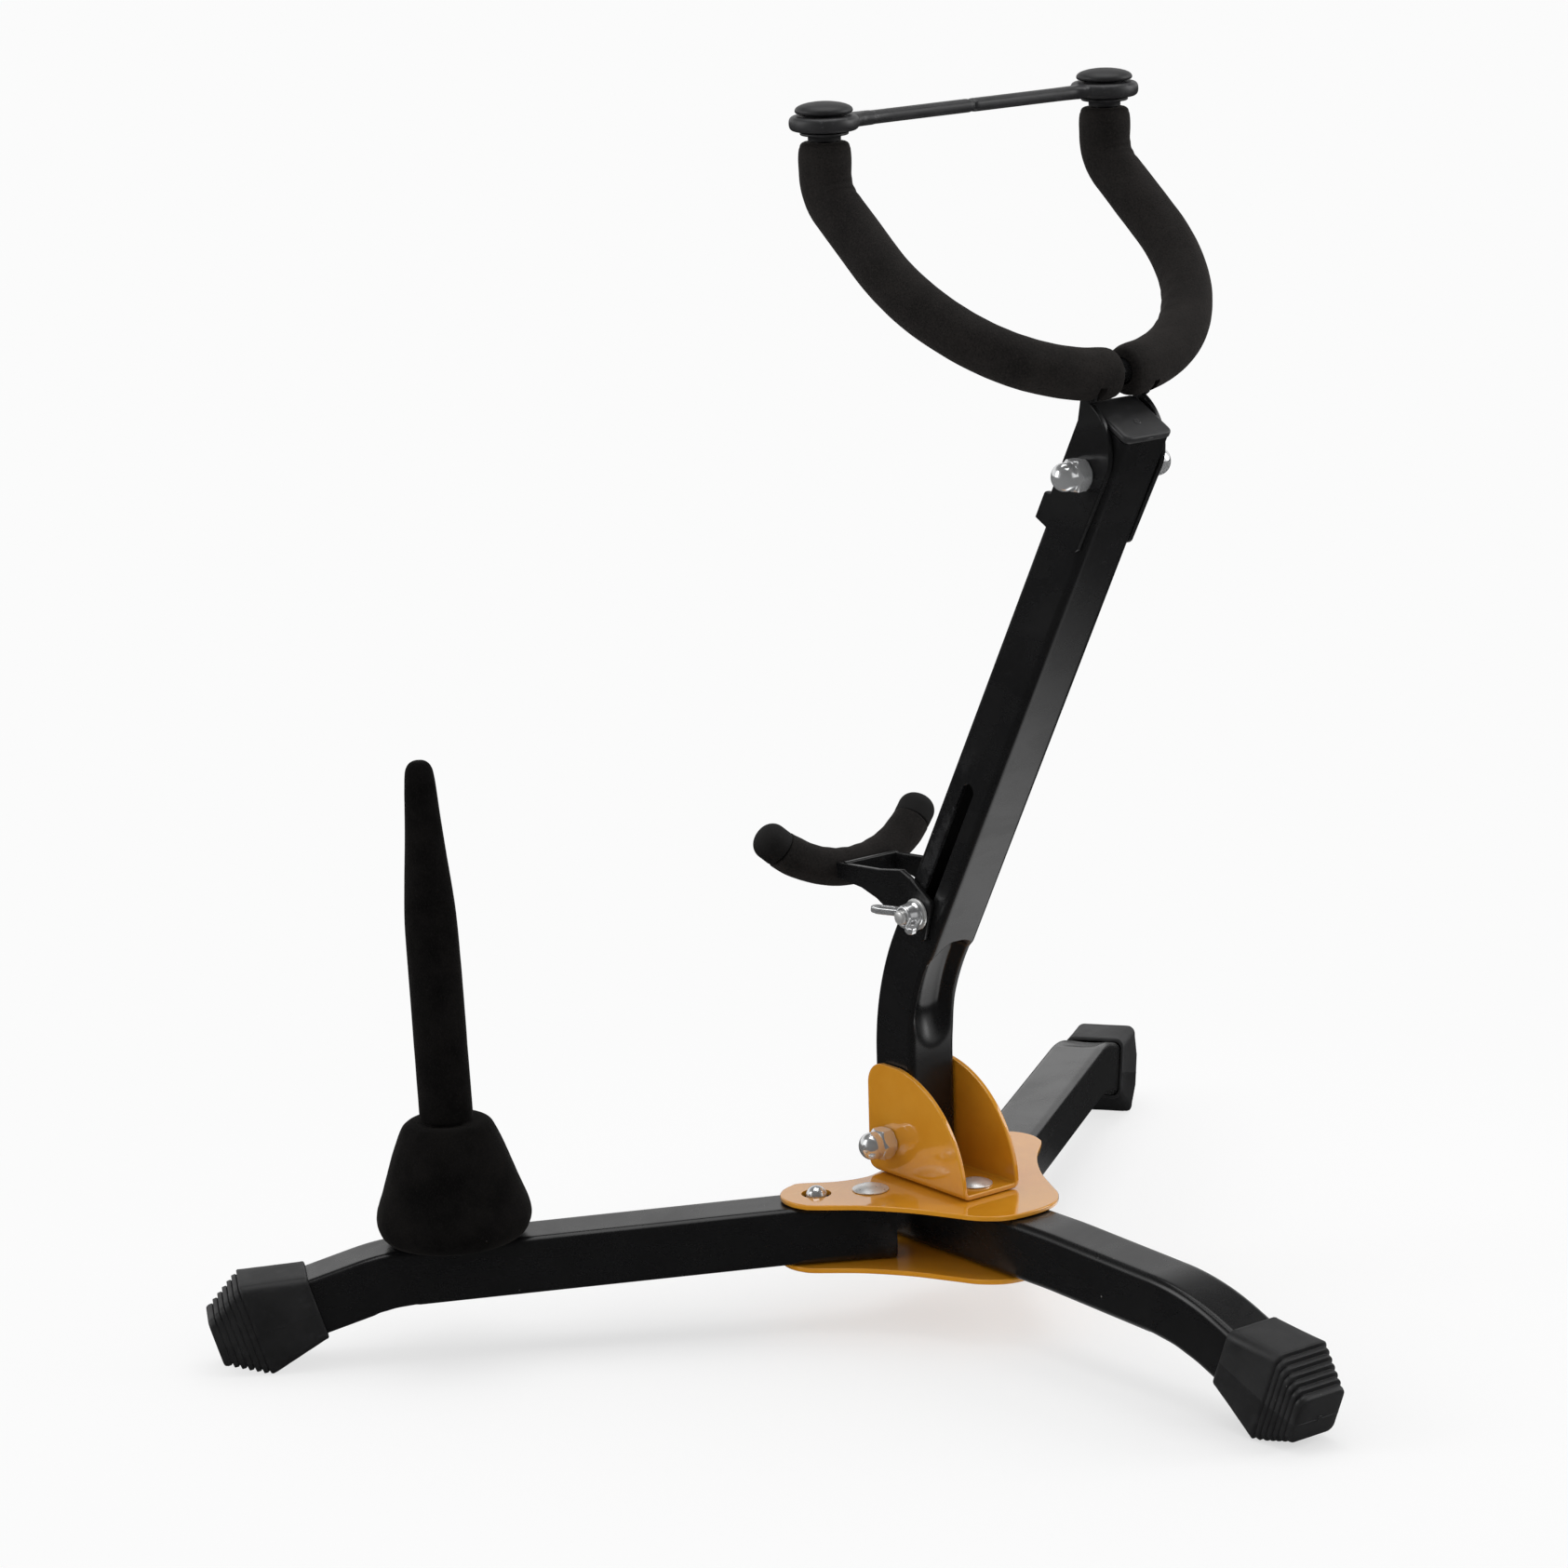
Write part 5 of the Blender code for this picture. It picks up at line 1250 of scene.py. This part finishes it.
for level, at, seat, body in (("lower", LOWER_PIVOT, CLEVIS_HALF + 0.25, "base"),
                              ("upper", UPPER_PIVOT, CHEEK_OUT + 0.25, "upright")):
    for tag, side in (("right", 1), ("left", -1)):
        cap_nut(f"{level}_cap_nut_{tag}", at, side, seat, body)


# ------------------------------------------------------------------ brackets
def cheeks(name, outline, radii, web):
    """Two side cheeks joined by a web; outlines are in (y, z)."""
    loop = rounded_poly(outline, radii, 8)
    piece = round_prism(name, loop, CHEEK_IN, CHEEK_OUT, 'X', 0.42, BLACK, 3)
    joint = round_prism("tool", rounded_poly(web, 0.6, 4), -CHEEK_OUT + 0.7, CHEEK_OUT - 0.7,
                        'X', 0.3, BLACK, 2)
    combine(piece, joint, 'UNION')
    left = round_prism("tool", loop, -CHEEK_OUT, -CHEEK_IN, 'X', 0.42, BLACK, 3)
    combine(piece, left, 'UNION')
    return piece


def yoke_bracket():
    # (up the tube, back from it) relative to the upper pivot
    curve = [(4.5 + 17.6 * cos(radians(angle)), -8.0 + 17.6 * sin(radians(angle)))
             for angle in range(2, 83, 4)]
    end = YOKE_SEAT - 0.2
    outline = [(-26.0, -12.6), (-15.5, -12.6), (-14.6, -10.0), (14.0, -10.0), (20.5, -12.0),
               (25.6, -17.3), (end, -17.3), (end, -6.6), (23.6, -6.6)]
    outline += curve + [(-26.0, 8.8)]
    radii = [0.0, 1.5, 0.0, 0.0, 3.0, 2.0, 1.5, 1.0, 0.0] + [0.0] * len(curve) + [2.5]
    web = [(-25.6, -12.4), (-25.6, -10.4), (-16.1, -10.4), (-16.1, -12.4)]

    def on_tube(table):
        points = [UPPER_PIVOT + TUBE_UP * up + TUBE_BACK * back for up, back in table]
        return [(point.y, point.z) for point in points]
    piece = cheeks("yoke_bracket_coated", on_tube(outline), radii, on_tube(web))
    cross_drill(piece, STUD_HOLE, UPPER_PIVOT)
    cross_drill(piece, YOKE_ROD + 0.6, YOKE_BOTTOM + YOKE_OUT * 1.1)
    finish(piece, "yoke", "yoke_bracket", angle=36, weighted=True)


def rest_bracket():
    y, z = REST_PIVOT.y, REST_PIVOT.z
    rod_y, rod_z = REST_BOTTOM.y, REST_BOTTOM.z + 1.3
    outline = [(y + 0.7, z - 9.9), (y + 3.0, z - 8.7), (y + 7.1, z + 5.0), (y - 3.8, z + 11.8),
               (y - 8.6, z + 13.6), (y - 20.7, z + 11.6), (rod_y + 3.6, rod_z + 2.6),
               (rod_y + 2.6, rod_z - 2.4), (y - 29.7, z + 3.4), (y - 21.5, z + 1.1),
               (y - 3.0, z - 8.4)]
    radii = [1.0, 1.0, 1.2, 1.0, 1.0, 1.5, 0.6, 0.6, 2.0, 2.0, 1.5]
    web = [(rod_y + 8.6, rod_z - 3.0), (rod_y + 10.6, rod_z - 3.0),
           (rod_y + 10.6, rod_z + 3.6), (rod_y + 8.6, rod_z + 3.6)]
    piece = cheeks("rest_bracket_coated", outline, radii, web)
    cross_drill(piece, SCREW_HOLE, REST_PIVOT)
    cross_drill(piece, REST_ROD + 0.6, (0, rod_y, rod_z))
    finish(piece, "body_rest", "rest_bracket", angle=36, weighted=True)


yoke_bracket()
rest_bracket()


def yoke_weld(tag, side):
    """Short irregular bead laid round the rod, outside a cheek."""
    size, seed = 0.75, 1.3 * side
    at = YOKE_BOTTOM + YOKE_OUT * (YOKE_R * (1 - cos(asin(CHEEK_MID / YOKE_R))))
    place = frame_from((1, 0, 0), at + Vector((side * (CHEEK_OUT + 0.35), 0, 0)))
    radius = YOKE_ROD + 0.35
    points = []
    for i in range(27):
        angle = radians(150 + 180 * i / 26)
        points.append(place @ Vector((radius * cos(angle), radius * sin(angle),
                                      0.18 * sin(i * 1.9 + seed))))

    def uneven(angle, run, total, outward):
        return (0.14 * size * sin(run * 3.4 + seed)
                + 0.10 * size * sin(run * 7.1 + 2 * angle + seed))
    bead = sweep(f"yoke_weld_{tag}", points, size, BLACK, 14, uneven, cap_round=size * 0.6)
    finish(bead, "yoke", angle=60)


for tag, side in (("right", 1), ("left", -1)):
    yoke_weld(tag, side)


# ------------------------------------------------------------------ yoke
YOKE_TIP_IN = square_to(UP, YOKE_OUT)            # inner side of the bend at an arm's tip


def yoke_curve(side, start_deg=0.0, tip_z=None):
    """Half of the yoke: quarter arc, straight arm, bend to vertical, then up to tip_z."""
    points = []
    for i in range(73):
        angle = radians(start_deg + (90 - start_deg) * i / 72)
        points.append(Vector((side * YOKE_R * sin(angle), 0, 0)) + YOKE_BOTTOM
                      + YOKE_OUT * (YOKE_R * (1 - cos(angle))))
    arm_end = YOKE_BOTTOM + YOKE_OUT * ARM_LENGTH + Vector((side * YOKE_R, 0, 0))
    arm_start = points[-1]
    points += [arm_start.lerp(arm_end, i / 18) for i in range(1, 19)]
    for i in range(1, 17):
        angle = radians((90 - YOKE_RISE) * i / 16)
        points.append(arm_end + YOKE_OUT * (TIP_BEND_R * sin(angle))
                      + YOKE_TIP_IN * (TIP_BEND_R * (1 - cos(angle))))
    if tip_z is not None:
        end = points[-1]
        steps = max(2, int((tip_z - end.z) / 1.3))
        for i in range(1, steps + 1):
            points.append(Vector((end.x, end.y, end.z + (tip_z - end.z) * i / steps)))
    return points


BEND_END = yoke_curve(1)[-1]
TIP_Y, KNOB_Z = BEND_END.y, BEND_END.z + 10.3
ROD_TOP = KNOB_Z + 9.8
rod = sweep("yoke_rod_coated",
            yoke_curve(-1, tip_z=ROD_TOP)[::-1] + yoke_curve(1, tip_z=ROD_TOP)[1:],
            YOKE_ROD, BLACK, 32)
finish(rod, "yoke", "yoke_rod")


def cheek_slit(side):
    """Box that opens a sleeve where the bracket's cheek reaches the rod."""
    inward = (UPPER_PIVOT + TUBE_BACK * -10 - YOKE_BOTTOM).normalized()
    across = Vector((1, 0, 0))
    along = inward.cross(across).normalized()
    width = CHEEK_OUT - CHEEK_IN + 0.7
    mesh = bmesh.new()
    verts = [mesh.verts.new(YOKE_BOTTOM + across * (side * CHEEK_MID + i * width)
                            + along * (j * 13.0) + inward * k)
             for i in (-0.5, 0.5) for j in (-1, 1) for k in (0.0, 12.0)]
    for face in ((0, 1, 3, 2), (4, 6, 7, 5), (0, 4, 5, 1), (2, 3, 7, 6), (0, 2, 6, 4),
                 (1, 5, 7, 3)):
        mesh.faces.new([verts[i] for i in face])
    return to_object("tool", mesh)


def foam_sleeve(name, points, inner_r, outer_r, seed, bends, draw, soft):
    """Slip-on foam tube: uneven wall, shallow creases inside the bends, soft ends.

    bends: (run, half width, inner side, depth, waves); draw pulls the ends in.
    """
    def uneven(angle, run, total, outward):
        out = (0.17 * noise3(outward * 2.2 + Vector((run * 0.035, 0, 0)), 1.0, seed)
               + 0.055 * noise3(outward * 6 + Vector((run * 0.16, 0, 0)), 1.0, seed + 4))
        end = min(run, total - run)
        out -= draw * exp(-(end / 2.6) ** 2)
        out += 0.16 * exp(-((end - 5.5) / 3.2) ** 2)
        for centre, width, inner_side, depth, waves in bends:
            part = (run - centre) / width
            if abs(part) < 1.2:
                inside = max(0.0, outward.dot(inner_side))
                out -= (depth * inside ** 2 * exp(-(part * 1.3) ** 2)
                        * (0.45 + 0.55 * cos(2 * pi * waves * part)))
        return out
    return sweep(name, points, outer_r - 0.12, FOAM, 56, uneven, cap_round=soft, bore=inner_r)


KNOB_BORE = YOKE_ROD + 0.25
# (radius, height): foot, flange, waist, wide domed head, then the blind bore
KNOB_PROFILE = [
    (KNOB_BORE, 0.0), (5.0, 0.0), (5.25, 0.12), (5.3, 0.4), (5.3, 1.25), (5.5, 1.58),
    (6.6, 1.72), (7.5, 1.84), (7.76, 2.05), (7.8, 2.35), (7.7, 2.60), (7.2, 2.78), (6.3, 2.9),
    (6.05, 3.2), (6.0, 3.8), (6.0, 7.8), (6.15, 8.22), (6.7, 8.45), (8.2, 8.60), (8.95, 8.82),
    (9.25, 9.2), (9.3, 9.55), (9.2, 9.95), (8.9, 10.42), (8.3, 10.88), (7.3, 11.32),
    (5.9, 11.72), (4.1, 12.04), (2.2, 12.22), (0.8, 12.29), (0, 12.3), (0, 10.2),
    (KNOB_BORE, 10.2)]


def yoke_sleeve(tag, side):
    points = resample(yoke_curve(side, start_deg=2.4, tip_z=KNOB_Z - 0.4), 0.75)
    inward = (YOKE_OUT + Vector((-side, 0, 0))).normalized()
    bends = [(122.0, 9.0, YOKE_TIP_IN, 0.55, 1.6), (45.0, 40.0, inward, 0.16, 5.0)]
    sleeve = foam_sleeve(f"yoke_foam_{tag}", points, YOKE_ROD + 0.35, YOKE_FOAM, 2.0 + side,
                         bends, draw=0.35, soft=1.7)
    combine(sleeve, cheek_slit(side))
    finish(sleeve, "yoke", f"yoke_sleeve_{tag}", angle=48)


def yoke_knob(tag, side):
    def uneven(angle, radius, z):
        """Slightly oval, with a mould line on the flange and head."""
        line = 0.09 * exp(-(sin(angle) / 0.06) ** 2) if radius > 6.5 else 0.0
        return 0.05 * sin(angle * 2 + side) * (radius / 9.5) + line
    knob = spin(f"yoke_knob_{tag}_moulded", KNOB_PROFILE,
                Matrix.Translation((side * YOKE_R, TIP_Y, KNOB_Z)), 72, KNOB, uneven)
    finish(knob, "yoke", f"yoke_knob_{tag}")


for tag, side in (("right", 1), ("left", -1)):
    yoke_sleeve(tag, side)
    yoke_knob(tag, side)


def strap():
    """Rubber strap: a ring round each knob and a cord between, notched near the middle."""
    z_mid = KNOB_Z + 5.57
    mesh = bmesh.new()
    for side in (1, -1):
        loops = []
        for radius, z in squircle(8.85, z_mid, 2.42, 2.45, 20, 0.75):
            loops.append([mesh.verts.new((side * YOKE_R + radius * cos(2 * pi * i / 64),
                                          TIP_Y + radius * sin(2 * pi * i / 64), z))
                          for i in range(64)])
        bridge(mesh, loops, close=True)
    reach = YOKE_R - 9.6
    loops = []
    for i in range(161):
        x = -reach + 2 * reach * i / 160
        out = abs(x)
        # the cord widens towards the rings, with a small extra step near the right end
        step = smoothstep(reach - 9.8, reach - 9.2, x)
        notch = exp(-((x + 1.2) / 0.55) ** 2)
        half_y = (2.85 + 0.30 * smoothstep(reach - 16.0, reach - 7.0, out)
                  + 1.5 * smoothstep(reach - 5.5, reach, out) + 0.32 * step - 0.50 * notch)
        half_z = (2.20 + 0.08 * smoothstep(reach - 12.0, reach, out)
                  + 0.10 * step - 0.42 * notch)
        loops.append([mesh.verts.new((x, y, z))
                      for y, z in squircle(TIP_Y, z_mid - 0.1, half_y, half_z, 28, 0.8)])
    loft(mesh, loops)
    piece = to_object("yoke_strap_moulded", mesh, STRAP)
    remesh(piece, 0.34, iterations=4)
    finish(piece, "yoke", "yoke_strap", angle=60)


strap()


# ------------------------------------------------------------------ body rest
def rest_point(degrees):
    angle = radians(degrees)
    return (REST_BOTTOM + Vector((REST_R * sin(angle), 0, 0))
            + REST_UP * (REST_R * (1 - cos(angle))))


def rest_arc(half, steps):
    return [rest_point(-half + 2 * half * i / steps) for i in range(steps + 1)]


def rest_tip(tag, side):
    """Domed cap over a rod end."""
    start = rest_point(side * (REST_ARC - 4))
    axis = (rest_point(side * (REST_ARC + 3)) - start).normalized()
    bore = REST_ROD + 0.4
    profile = [(bore, 0.0), (6.1, 0.0), (6.32, 0.08), (6.46, 0.25), (6.5, 0.5), (6.5, 4.4)]
    for i in range(1, 15):
        angle = radians(90 * i / 14)
        profile.append((6.5 * cos(angle) ** 0.85, 4.4 + 5.2 * sin(angle)))
    profile += [(0, 6.6), (bore, 6.6)]
    tip = spin(f"rest_tip_{tag}_moulded", profile, frame_from(axis, start + axis * 0.35), 56,
               TIP, lambda angle, radius, z: 0.06 * sin(3 * angle + side) * (radius / 7))
    finish(tip, "body_rest", f"rest_end_cap_{tag}", angle=42)


rod = sweep("rest_rod_coated", rest_arc(REST_ARC + 3, 60), REST_ROD, BLACK, 28)
finish(rod, "body_rest", "rest_rod")
sleeve = foam_sleeve("rest_foam", resample(rest_arc(REST_ARC - 4, 80), 0.7), REST_ROD + 0.35,
                     REST_FOAM, 7.0, [(32.0, 30.0, REST_UP, 0.20, 4.0)], draw=0.0, soft=0.45)
finish(sleeve, "body_rest", "rest_sleeve", angle=48)
for tag, side in (("right", 1), ("left", -1)):
    rest_tip(tag, side)

SCREW_PLACE = frame_from((1, 0, 0), REST_PIVOT)


def clamp_screw():
    """Low domed head on the left, a plain shank, then a thread running to the right."""
    head = -(CHEEK_OUT + 0.2)
    profile = [(0, head - 2.6), (1.2, head - 2.58), (2.6, head - 2.42), (3.8, head - 2.05),
               (4.8, head - 1.5), (5.5, head - 0.8), (5.8, head - 0.25), (5.75, head),
               (2.5, head), (2.5, -2.0)]
    pitch, length, rings = 0.8, 20.0, 200
    profile += [(2.495, length * i / rings) for i in range(rings + 1)]
    profile += [(2.2, 20.4), (1.9, 20.6), (0, 20.6)]

    def thread(angle, radius, z):
        if z < -0.1 or radius < 2.4 or z > length + 0.05:
            return 0.0
        turn = (z / pitch - angle / (2 * pi)) % 1.0
        fade = smoothstep(0.0, 1.2, z) * smoothstep(20.1, 19.4, z)
        return -0.36 * abs(2 * turn - 1) * fade
    piece = spin("rest_clamp_screw_threaded", profile, SCREW_PLACE, 40, ZINC, thread)
    finish(piece, "rest_carriage", "rest_clamp_screw", angle=34)


clamp_screw()

# (distance from the screw, height above the seat)
WING_OUTER = [(2.9, 0.5), (4.8, 1.2), (7.8, 4.4), (10.6, 8.0), (11.0, 10.2), (9.6, 11.2),
              (7.4, 10.4), (4.8, 7.4), (3.0, 5.0)]
WING_WINDOW = [(5.3, 3.9), (6.4, 4.8), (8.2, 7.2), (8.4, 8.6), (7.2, 8.1), (5.4, 6.0)]


def wing_nut():
    """Tapered hub with two windowed wings, turned a little on its screw."""
    seat = CHEEK_OUT + 1.2
    profile = [(0, seat), (4.7, seat), (4.7, seat + 0.9), (4.3, seat + 2.0),
               (3.9, seat + 5.0), (3.5, seat + 5.4), (0, seat + 5.4)]
    nut = spin("rest_wing_nut_plated", profile, SCREW_PLACE, 48, CAST)
    turn = (Matrix.Translation(REST_PIVOT) @ Matrix.Rotation(radians(-12.0), 4, 'X')
            @ Matrix.Translation(-REST_PIVOT))

    def blade(table, sign, half_t):
        outline = rounded_poly(table, 1.0, 5)
        normals = outline_normals(outline)
        mesh = bmesh.new()
        loops = []
        for z, inset in ((-half_t, 0.35), (-half_t * 0.7, 0.0), (half_t * 0.7, 0.0),
                         (half_t, 0.35)):
            loops.append([mesh.verts.new((seat + height - normal.y * inset,
                                          REST_PIVOT.y + sign * (out - normal.x * inset),
                                          REST_PIVOT.z + z))
                          for (out, height), normal in zip(outline, normals)])
        loft(mesh, loops)
        bmesh.ops.transform(mesh, matrix=turn, verts=mesh.verts)
        return to_object("tool", mesh)
    for sign in (1, -1):
        combine(nut, blade(WING_OUTER, sign, 1.1), 'UNION')
        combine(nut, blade(WING_WINDOW, sign, 3.0))
    drill(nut, SCREW_HOLE, 0, 40, SCREW_PLACE)
    remesh(nut, 0.20, iterations=3)
    finish(nut, "wing_nut", "rest_wing_nut", angle=60)


wing_nut()


# ------------------------------------------------------------------ peg
# (radius, height) above the leg
PEG_BASE_SKIN = [
    (19.5, 0.35), (21.6, 0.7), (23.6, 1.8), (25.3, 3.9), (26.15, 6.8), (26.0, 10.0),
    (25.0, 13.4), (23.4, 17.6), (21.4, 23.8), (19.3, 30.2), (17.4, 35.2), (16.1, 38.2),
    (14.9, 40.1), (13.2, 41.2), (11.0, 41.5)]
PEG_POST_SKIN = [
    (8.5, 41.9), (8.95, 42.6), (9.05, 45.0), (9.0, 60.0), (8.95, 80.0), (8.9, 98.0),
    (8.85, 107.0), (8.65, 113.0), (8.25, 119.0), (7.55, 127.0), (6.7, 137.0), (5.95, 147.0),
    (5.25, 156.5), (4.85, 160.6), (4.45, 162.9), (3.6, 164.6), (2.3, 165.6), (0.9, 165.9)]


def soft_skin(seed, depth):
    """Uneven flocking in three sizes; the bore and the post's foot stay true."""
    def ripple(angle, radius, z):
        if radius < 6 and z < 60:
            return 0.0
        out = Vector((cos(angle), sin(angle), 0))
        return depth * (
            0.6 * noise3(out * 1.6 + Vector((0, 0, z * 0.05)), 1.0, seed)
            + 0.25 * noise3(out * 5 + Vector((0, 0, z * 0.16)), 1.0, seed + 2)
            + 0.12 * noise3(out * 17 + Vector((0, 0, z * 0.6)), 1.0, seed + 5))
    return ripple


base_profile = ([(STUD_HOLE, 0.35), (12.0, 0.35)] + smooth_profile(PEG_BASE_SKIN, 6)
                + [(9.6, 41.3), (5.3, 41.3), (5.3, 24.0), (STUD_HOLE, 24.0)])
post_profile = ([(0, 24.6), (5.0, 24.6), (5.0, 41.8)] + smooth_profile(PEG_POST_SKIN, 5)
                + [(0, 165.93)])
for name, profile, segs, skin in (("peg_base", base_profile, 144, soft_skin(1.0, 0.42)),
                                  ("peg_post", post_profile, 96, soft_skin(6.0, 0.20))):
    finish(spin(name + "_flocked", profile, PEG_PLACE, segs, FLOCK, skin), "peg",
           name, angle=55)

# ------------------------------------------------------------------ CAD nodes that stay
STAY = {"lower_pivot_stud": ZINC, "upper_pivot_stud": ZINC, "peg_stud": ZINC,
        "rest_washer": ZINC, "right_detent_spring": SPRING, "left_detent_spring": SPRING}
for name, part in NODES.items():
    if part.hide_render:
        continue
    mat = STAY.get(name, BLACK)
    if not part.material_slots:
        part.data.materials.append(mat)
    for slot in part.material_slots:
        slot.material = mat
    part.data.polygons.foreach_set("use_smooth", [True] * len(part.data.polygons))
    part.modifiers.new("weld", 'WELD').merge_threshold = 0.000004
    if mat is not SPRING:
        bevel = part.modifiers.new("edge", 'BEVEL')
        bevel.width, bevel.segments = 0.00025, 3
        bevel.limit_method, bevel.angle_limit = 'ANGLE', radians(50)
        part.modifiers.new("normals", 'WEIGHTED_NORMAL').keep_sharp = True


# ------------------------------------------------------------------ floor, in metres
def floor_material():
    """Pale floor that runs into an even white backdrop; reflections see a glow instead."""
    mat = bpy.data.materials.new("pale_floor")
    mat.use_nodes = True
    tree = mat.node_tree
    tree.nodes.clear()
    graph = Graph(tree)
    coords = graph.new("ShaderNodeTexCoord", {}, "Object")
    camera_ray = graph.new("ShaderNodeLightPath", {}, "Is Camera Ray")
    glossy_ray = camera_ray.node.outputs["Is Glossy Ray"]

    def distance_from(point):
        return graph.new("ShaderNodeVectorMath", {0: coords, 1: point}, "Value",
                         operation='DISTANCE')
    pale = graph.new("ShaderNodeBsdfDiffuse", {"Color": (0.93, 0.93, 0.93)})
    strength = graph.ramp(distance_from((-0.12, 0.06, 0.0)), over=(0.03, 0.17), to=(1.5, 0.03))
    glow = graph.new("ShaderNodeEmission", {"Color": (1, 1, 1), "Strength": strength})
    paper = graph.new("ShaderNodeEmission", {"Color": (0.965, 0.965, 0.965)})
    far = graph.ramp(distance_from((0.0, 0.0, 0.0)), over=(0.10, 0.42), to=(0.60, 1.0))
    seen = graph.new("ShaderNodeMixShader",
                     {0: graph.times(far, camera_ray), 1: pale, 2: paper})
    surface = graph.new("ShaderNodeMixShader", {0: glossy_ray, 1: seen, 2: glow})
    graph.put(tree.nodes.new("ShaderNodeOutputMaterial").inputs["Surface"], surface)
    return mat


floor_mesh = bpy.data.meshes.new("floor")
floor_mesh.from_pydata([(-30, -30, 0), (30, -30, 0), (30, 30, 0), (-30, 30, 0)], [],
                       [(0, 1, 2, 3)])
floor = bpy.data.objects.new("floor", floor_mesh)
floor.location = (0, 0, -0.0004)
SCENE.collection.objects.link(floor)
floor_mesh.materials.append(floor_material())


# ------------------------------------------------------------------ world
def studio_world():
    """White to the camera, softer for diffuse light.

    Reflections see a bright horizon, dark overhead and on the viewer's side.
    """
    world = bpy.data.worlds.new("studio")
    SCENE.world = world
    world.use_nodes = True
    tree = world.node_tree
    tree.nodes.clear()
    graph = Graph(tree)
    camera_ray = graph.new("ShaderNodeLightPath", {}, "Is Camera Ray")
    glossy_ray = camera_ray.node.outputs["Is Glossy Ray"]
    coords = graph.new("ShaderNodeTexCoord", {}, "Generated")
    height = graph.new("ShaderNodeSeparateXYZ", {0: coords}, "Z")
    to_viewer = graph.new("ShaderNodeVectorMath", {0: coords, 1: (0.62, 0.78, 0.0)}, "Value",
                          operation='DOT_PRODUCT')
    horizon = graph.ramp(height, over=(0.34, 0.62), to=(1.0, 0.10))
    away = graph.ramp(to_viewer, over=(0.20, 0.70), to=(1.0, 0.04))
    white = graph.new("ShaderNodeBackground", {"Color": (1, 1, 1), "Strength": 1.0})
    fill = graph.new("ShaderNodeBackground", {"Color": (1, 1, 1), "Strength": 0.60})
    mirrored = graph.new("ShaderNodeBackground", {"Strength": graph.times(horizon, away)})
    light = graph.new("ShaderNodeMixShader", {0: glossy_ray, 1: fill, 2: mirrored})
    surface = graph.new("ShaderNodeMixShader", {0: camera_ray, 1: light, 2: white})
    graph.put(tree.nodes.new("ShaderNodeOutputWorld").inputs["Surface"], surface)


studio_world()


# ------------------------------------------------------------------ lights and camera
def area_light(name, location, target, size, power):
    data = bpy.data.lights.new(name, 'AREA')
    data.shape = 'RECTANGLE'
    data.size, data.size_y = size
    data.energy = power
    light = bpy.data.objects.new(name, data)
    SCENE.collection.objects.link(light)
    light.location = location
    aim = Vector(target) - Vector(location)
    light.rotation_euler = aim.to_track_quat('-Z', 'Y').to_euler()
    light.visible_camera = False


# right and left as the camera sees them
area_light("overhead_soft", location=(-0.2, -0.1, 1.9), target=(0, 0, 0.1), size=(1.6, 1.6),
           power=15.0)
area_light("side_soft_right", location=(-1.5, 1.0, 0.9), target=(0, 0, 0.2), size=(0.7, 1.3),
           power=9.0)
area_light("side_soft_left", location=(1.5, -0.9, 0.9), target=(0, 0, 0.2), size=(0.6, 1.2),
           power=6.0)


def add_camera(location, yaw, pitch, roll, lens):
    """Camera from its heading and tilts in degrees; yaw is measured from +X."""
    data = bpy.data.cameras.new("camera")
    camera = bpy.data.objects.new("camera", data)
    SCENE.collection.objects.link(camera)
    yaw, pitch, roll = radians(yaw), radians(pitch), radians(roll)
    forward = Vector((cos(pitch) * cos(yaw), cos(pitch) * sin(yaw), sin(pitch)))
    right = forward.cross(UP).normalized()
    down = -right.cross(forward)
    rolled_right = right * cos(roll) + down * sin(roll)
    rolled_down = down * cos(roll) - right * sin(roll)
    turn = Matrix((rolled_right, -rolled_down, -forward)).transposed().to_4x4()
    camera.matrix_world = Matrix.Translation(location) @ turn
    data.sensor_width = 36.0
    data.lens = lens
    data.clip_end = 100.0
    SCENE.camera = camera


add_camera(location=(1.1235 + SHIFT.x * MM, 1.3361 + SHIFT.y * MM, 0.6174),
           yaw=-128.24, pitch=-13.82, roll=1.55, lens=123.0)
SCENE.view_settings.view_transform = 'Standard'
